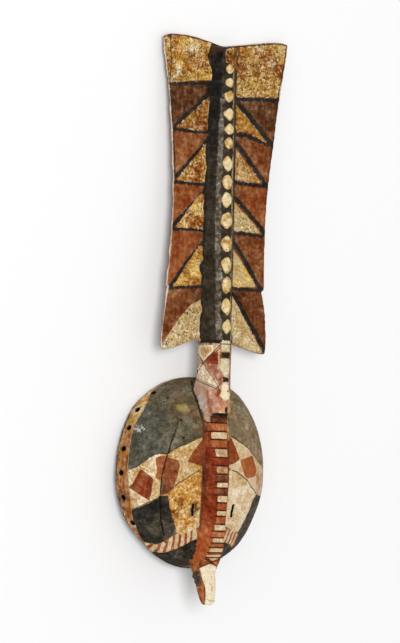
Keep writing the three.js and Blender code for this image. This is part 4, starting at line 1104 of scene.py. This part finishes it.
    rough = g.mixf(m_w, g.linear(small, -2, 2, 0.62, 0.80), g.linear(fine, -2, 2, 0.80, 0.93))
    rough = g.mixf(m_k, rough, g.linear(small, -2, 2, 0.58, 0.74))

    shader = g.t.nodes.new("ShaderNodeBsdfPrincipled")
    shader.inputs["Specular IOR Level"].default_value = 0.06
    g.link(col, shader.inputs["Base Color"])
    g.link(rough, shader.inputs["Roughness"])
    g.link(bump.outputs["Normal"], shader.inputs["Normal"])
    out = g.t.nodes.new("ShaderNodeOutputMaterial")
    g.link(shader.outputs["BSDF"], out.inputs["Surface"])
    return g.mat


# ------------------------------------------------------------------ the piece

def link(obj):
    bpy.context.scene.collection.objects.link(obj)
    return obj


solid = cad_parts["mask"]
carved = link(bpy.data.objects.new("carved_mask", solid.data.copy()))
carved.data.name = "carved_mask"
carved.data.materials.clear()
carve(carved)
paint(carved)
carved.data.materials.clear()
carved.data.materials.append(painted_wood())
carved.data.polygons.foreach_set("use_smooth", np.ones(len(carved.data.polygons), bool))
carved.data.update()
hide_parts("mask")
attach(carved, "root")

# ------------------------------------------------------------------ floor, light and camera

floor_mesh = bpy.data.meshes.new("floor")
floor_mesh.from_pydata([(-9, -9, 0), (9, -9, 0), (9, 9, 0), (-9, 9, 0)], [], [(0, 1, 2, 3)])
floor = link(bpy.data.objects.new("floor", floor_mesh))
floor_mat = bpy.data.materials.new("pale_floor")
floor_mat.use_nodes = True
bsdf = floor_mat.node_tree.nodes["Principled BSDF"]
bsdf.inputs["Base Color"].default_value = (0.93, 0.93, 0.93, 1)
bsdf.inputs["Roughness"].default_value = 0.9
bsdf.inputs["Specular IOR Level"].default_value = 0.1
floor_mesh.materials.append(floor_mat)

world = bpy.data.worlds.new("studio")
world.use_nodes = True
world.node_tree.nodes["Background"].inputs["Color"].default_value = (1, 1, 1, 1)
world.node_tree.nodes["Background"].inputs["Strength"].default_value = 0.54
bpy.context.scene.world = world


def lamp(name, direction, distance, size, power):
    data = bpy.data.lights.new(name, "AREA")
    data.shape, data.size, data.energy = "DISK", size, power
    obj = link(bpy.data.objects.new(name, data))
    d = Vector(direction).normalized()
    obj.location = Vector((0, 0.05, 0.08)) + d * distance
    obj.rotation_euler = (-d).to_track_quat("-Z", "Y").to_euler()
    return obj


lamp("key", (-0.34, 0.10, 0.935), 10.0, 3.7, 575)

# The view: 30 degrees to the left of the face, a long lens, a slight clockwise roll
VIEW_TURN = math.radians(30)
VIEW_DISTANCE = 6500.0
VIEW_ROLL = math.radians(2.1)
VIEW_HEIGHT = 10.0
MM_PER_PIXEL = 1.72
CENTRE = (187.0, 478.0)
WIDTH, HEIGHT = 400, 643
FOCAL = VIEW_DISTANCE / MM_PER_PIXEL

ahead = np.array([math.sin(VIEW_TURN), 0, -math.cos(VIEW_TURN)])
across = np.array([math.cos(VIEW_TURN), 0, math.sin(VIEW_TURN)])
upward = np.array([0, 1.0, 0])
eye = -VIEW_DISTANCE * ahead + VIEW_HEIGHT * upward


def ray(px, py):
    dx, dy = px - CENTRE[0], py - CENTRE[1]
    c, s = math.cos(VIEW_ROLL), math.sin(VIEW_ROLL)
    du, dv = c * dx + s * dy, -s * dx + c * dy
    return ahead + du / FOCAL * across - (dv + FOCAL * VIEW_HEIGHT / VIEW_DISTANCE) / FOCAL * upward


def lying_direction(v):
    return Vector((v[0], v[1] * LC + v[2] * LS, v[2] * LC - v[1] * LS))


look = lying_direction(ray(WIDTH / 2, HEIGHT / 2)).normalized()
above_look = lying_direction(ray(WIDTH / 2, HEIGHT / 2 - 100)).normalized()
view_up = (above_look - look * above_look.dot(look)).normalized()
view_right = look.cross(view_up).normalized()
place = Vector(to_lying(eye[None])[0])
cam = bpy.data.cameras.new("camera")
cam.sensor_width = 36.0
cam.sensor_fit = "AUTO"
cam.lens = FOCAL * 36.0 / HEIGHT
cam.clip_end = 60.0
camera = link(bpy.data.objects.new("camera", cam))
camera.matrix_world = Matrix((
    (view_right.x, view_up.x, -look.x, place.x),
    (view_right.y, view_up.y, -look.y, place.y),
    (view_right.z, view_up.z, -look.z, place.z),
    (0, 0, 0, 1)))
bpy.context.scene.camera = camera
bpy.context.scene.view_settings.view_transform = "Standard"
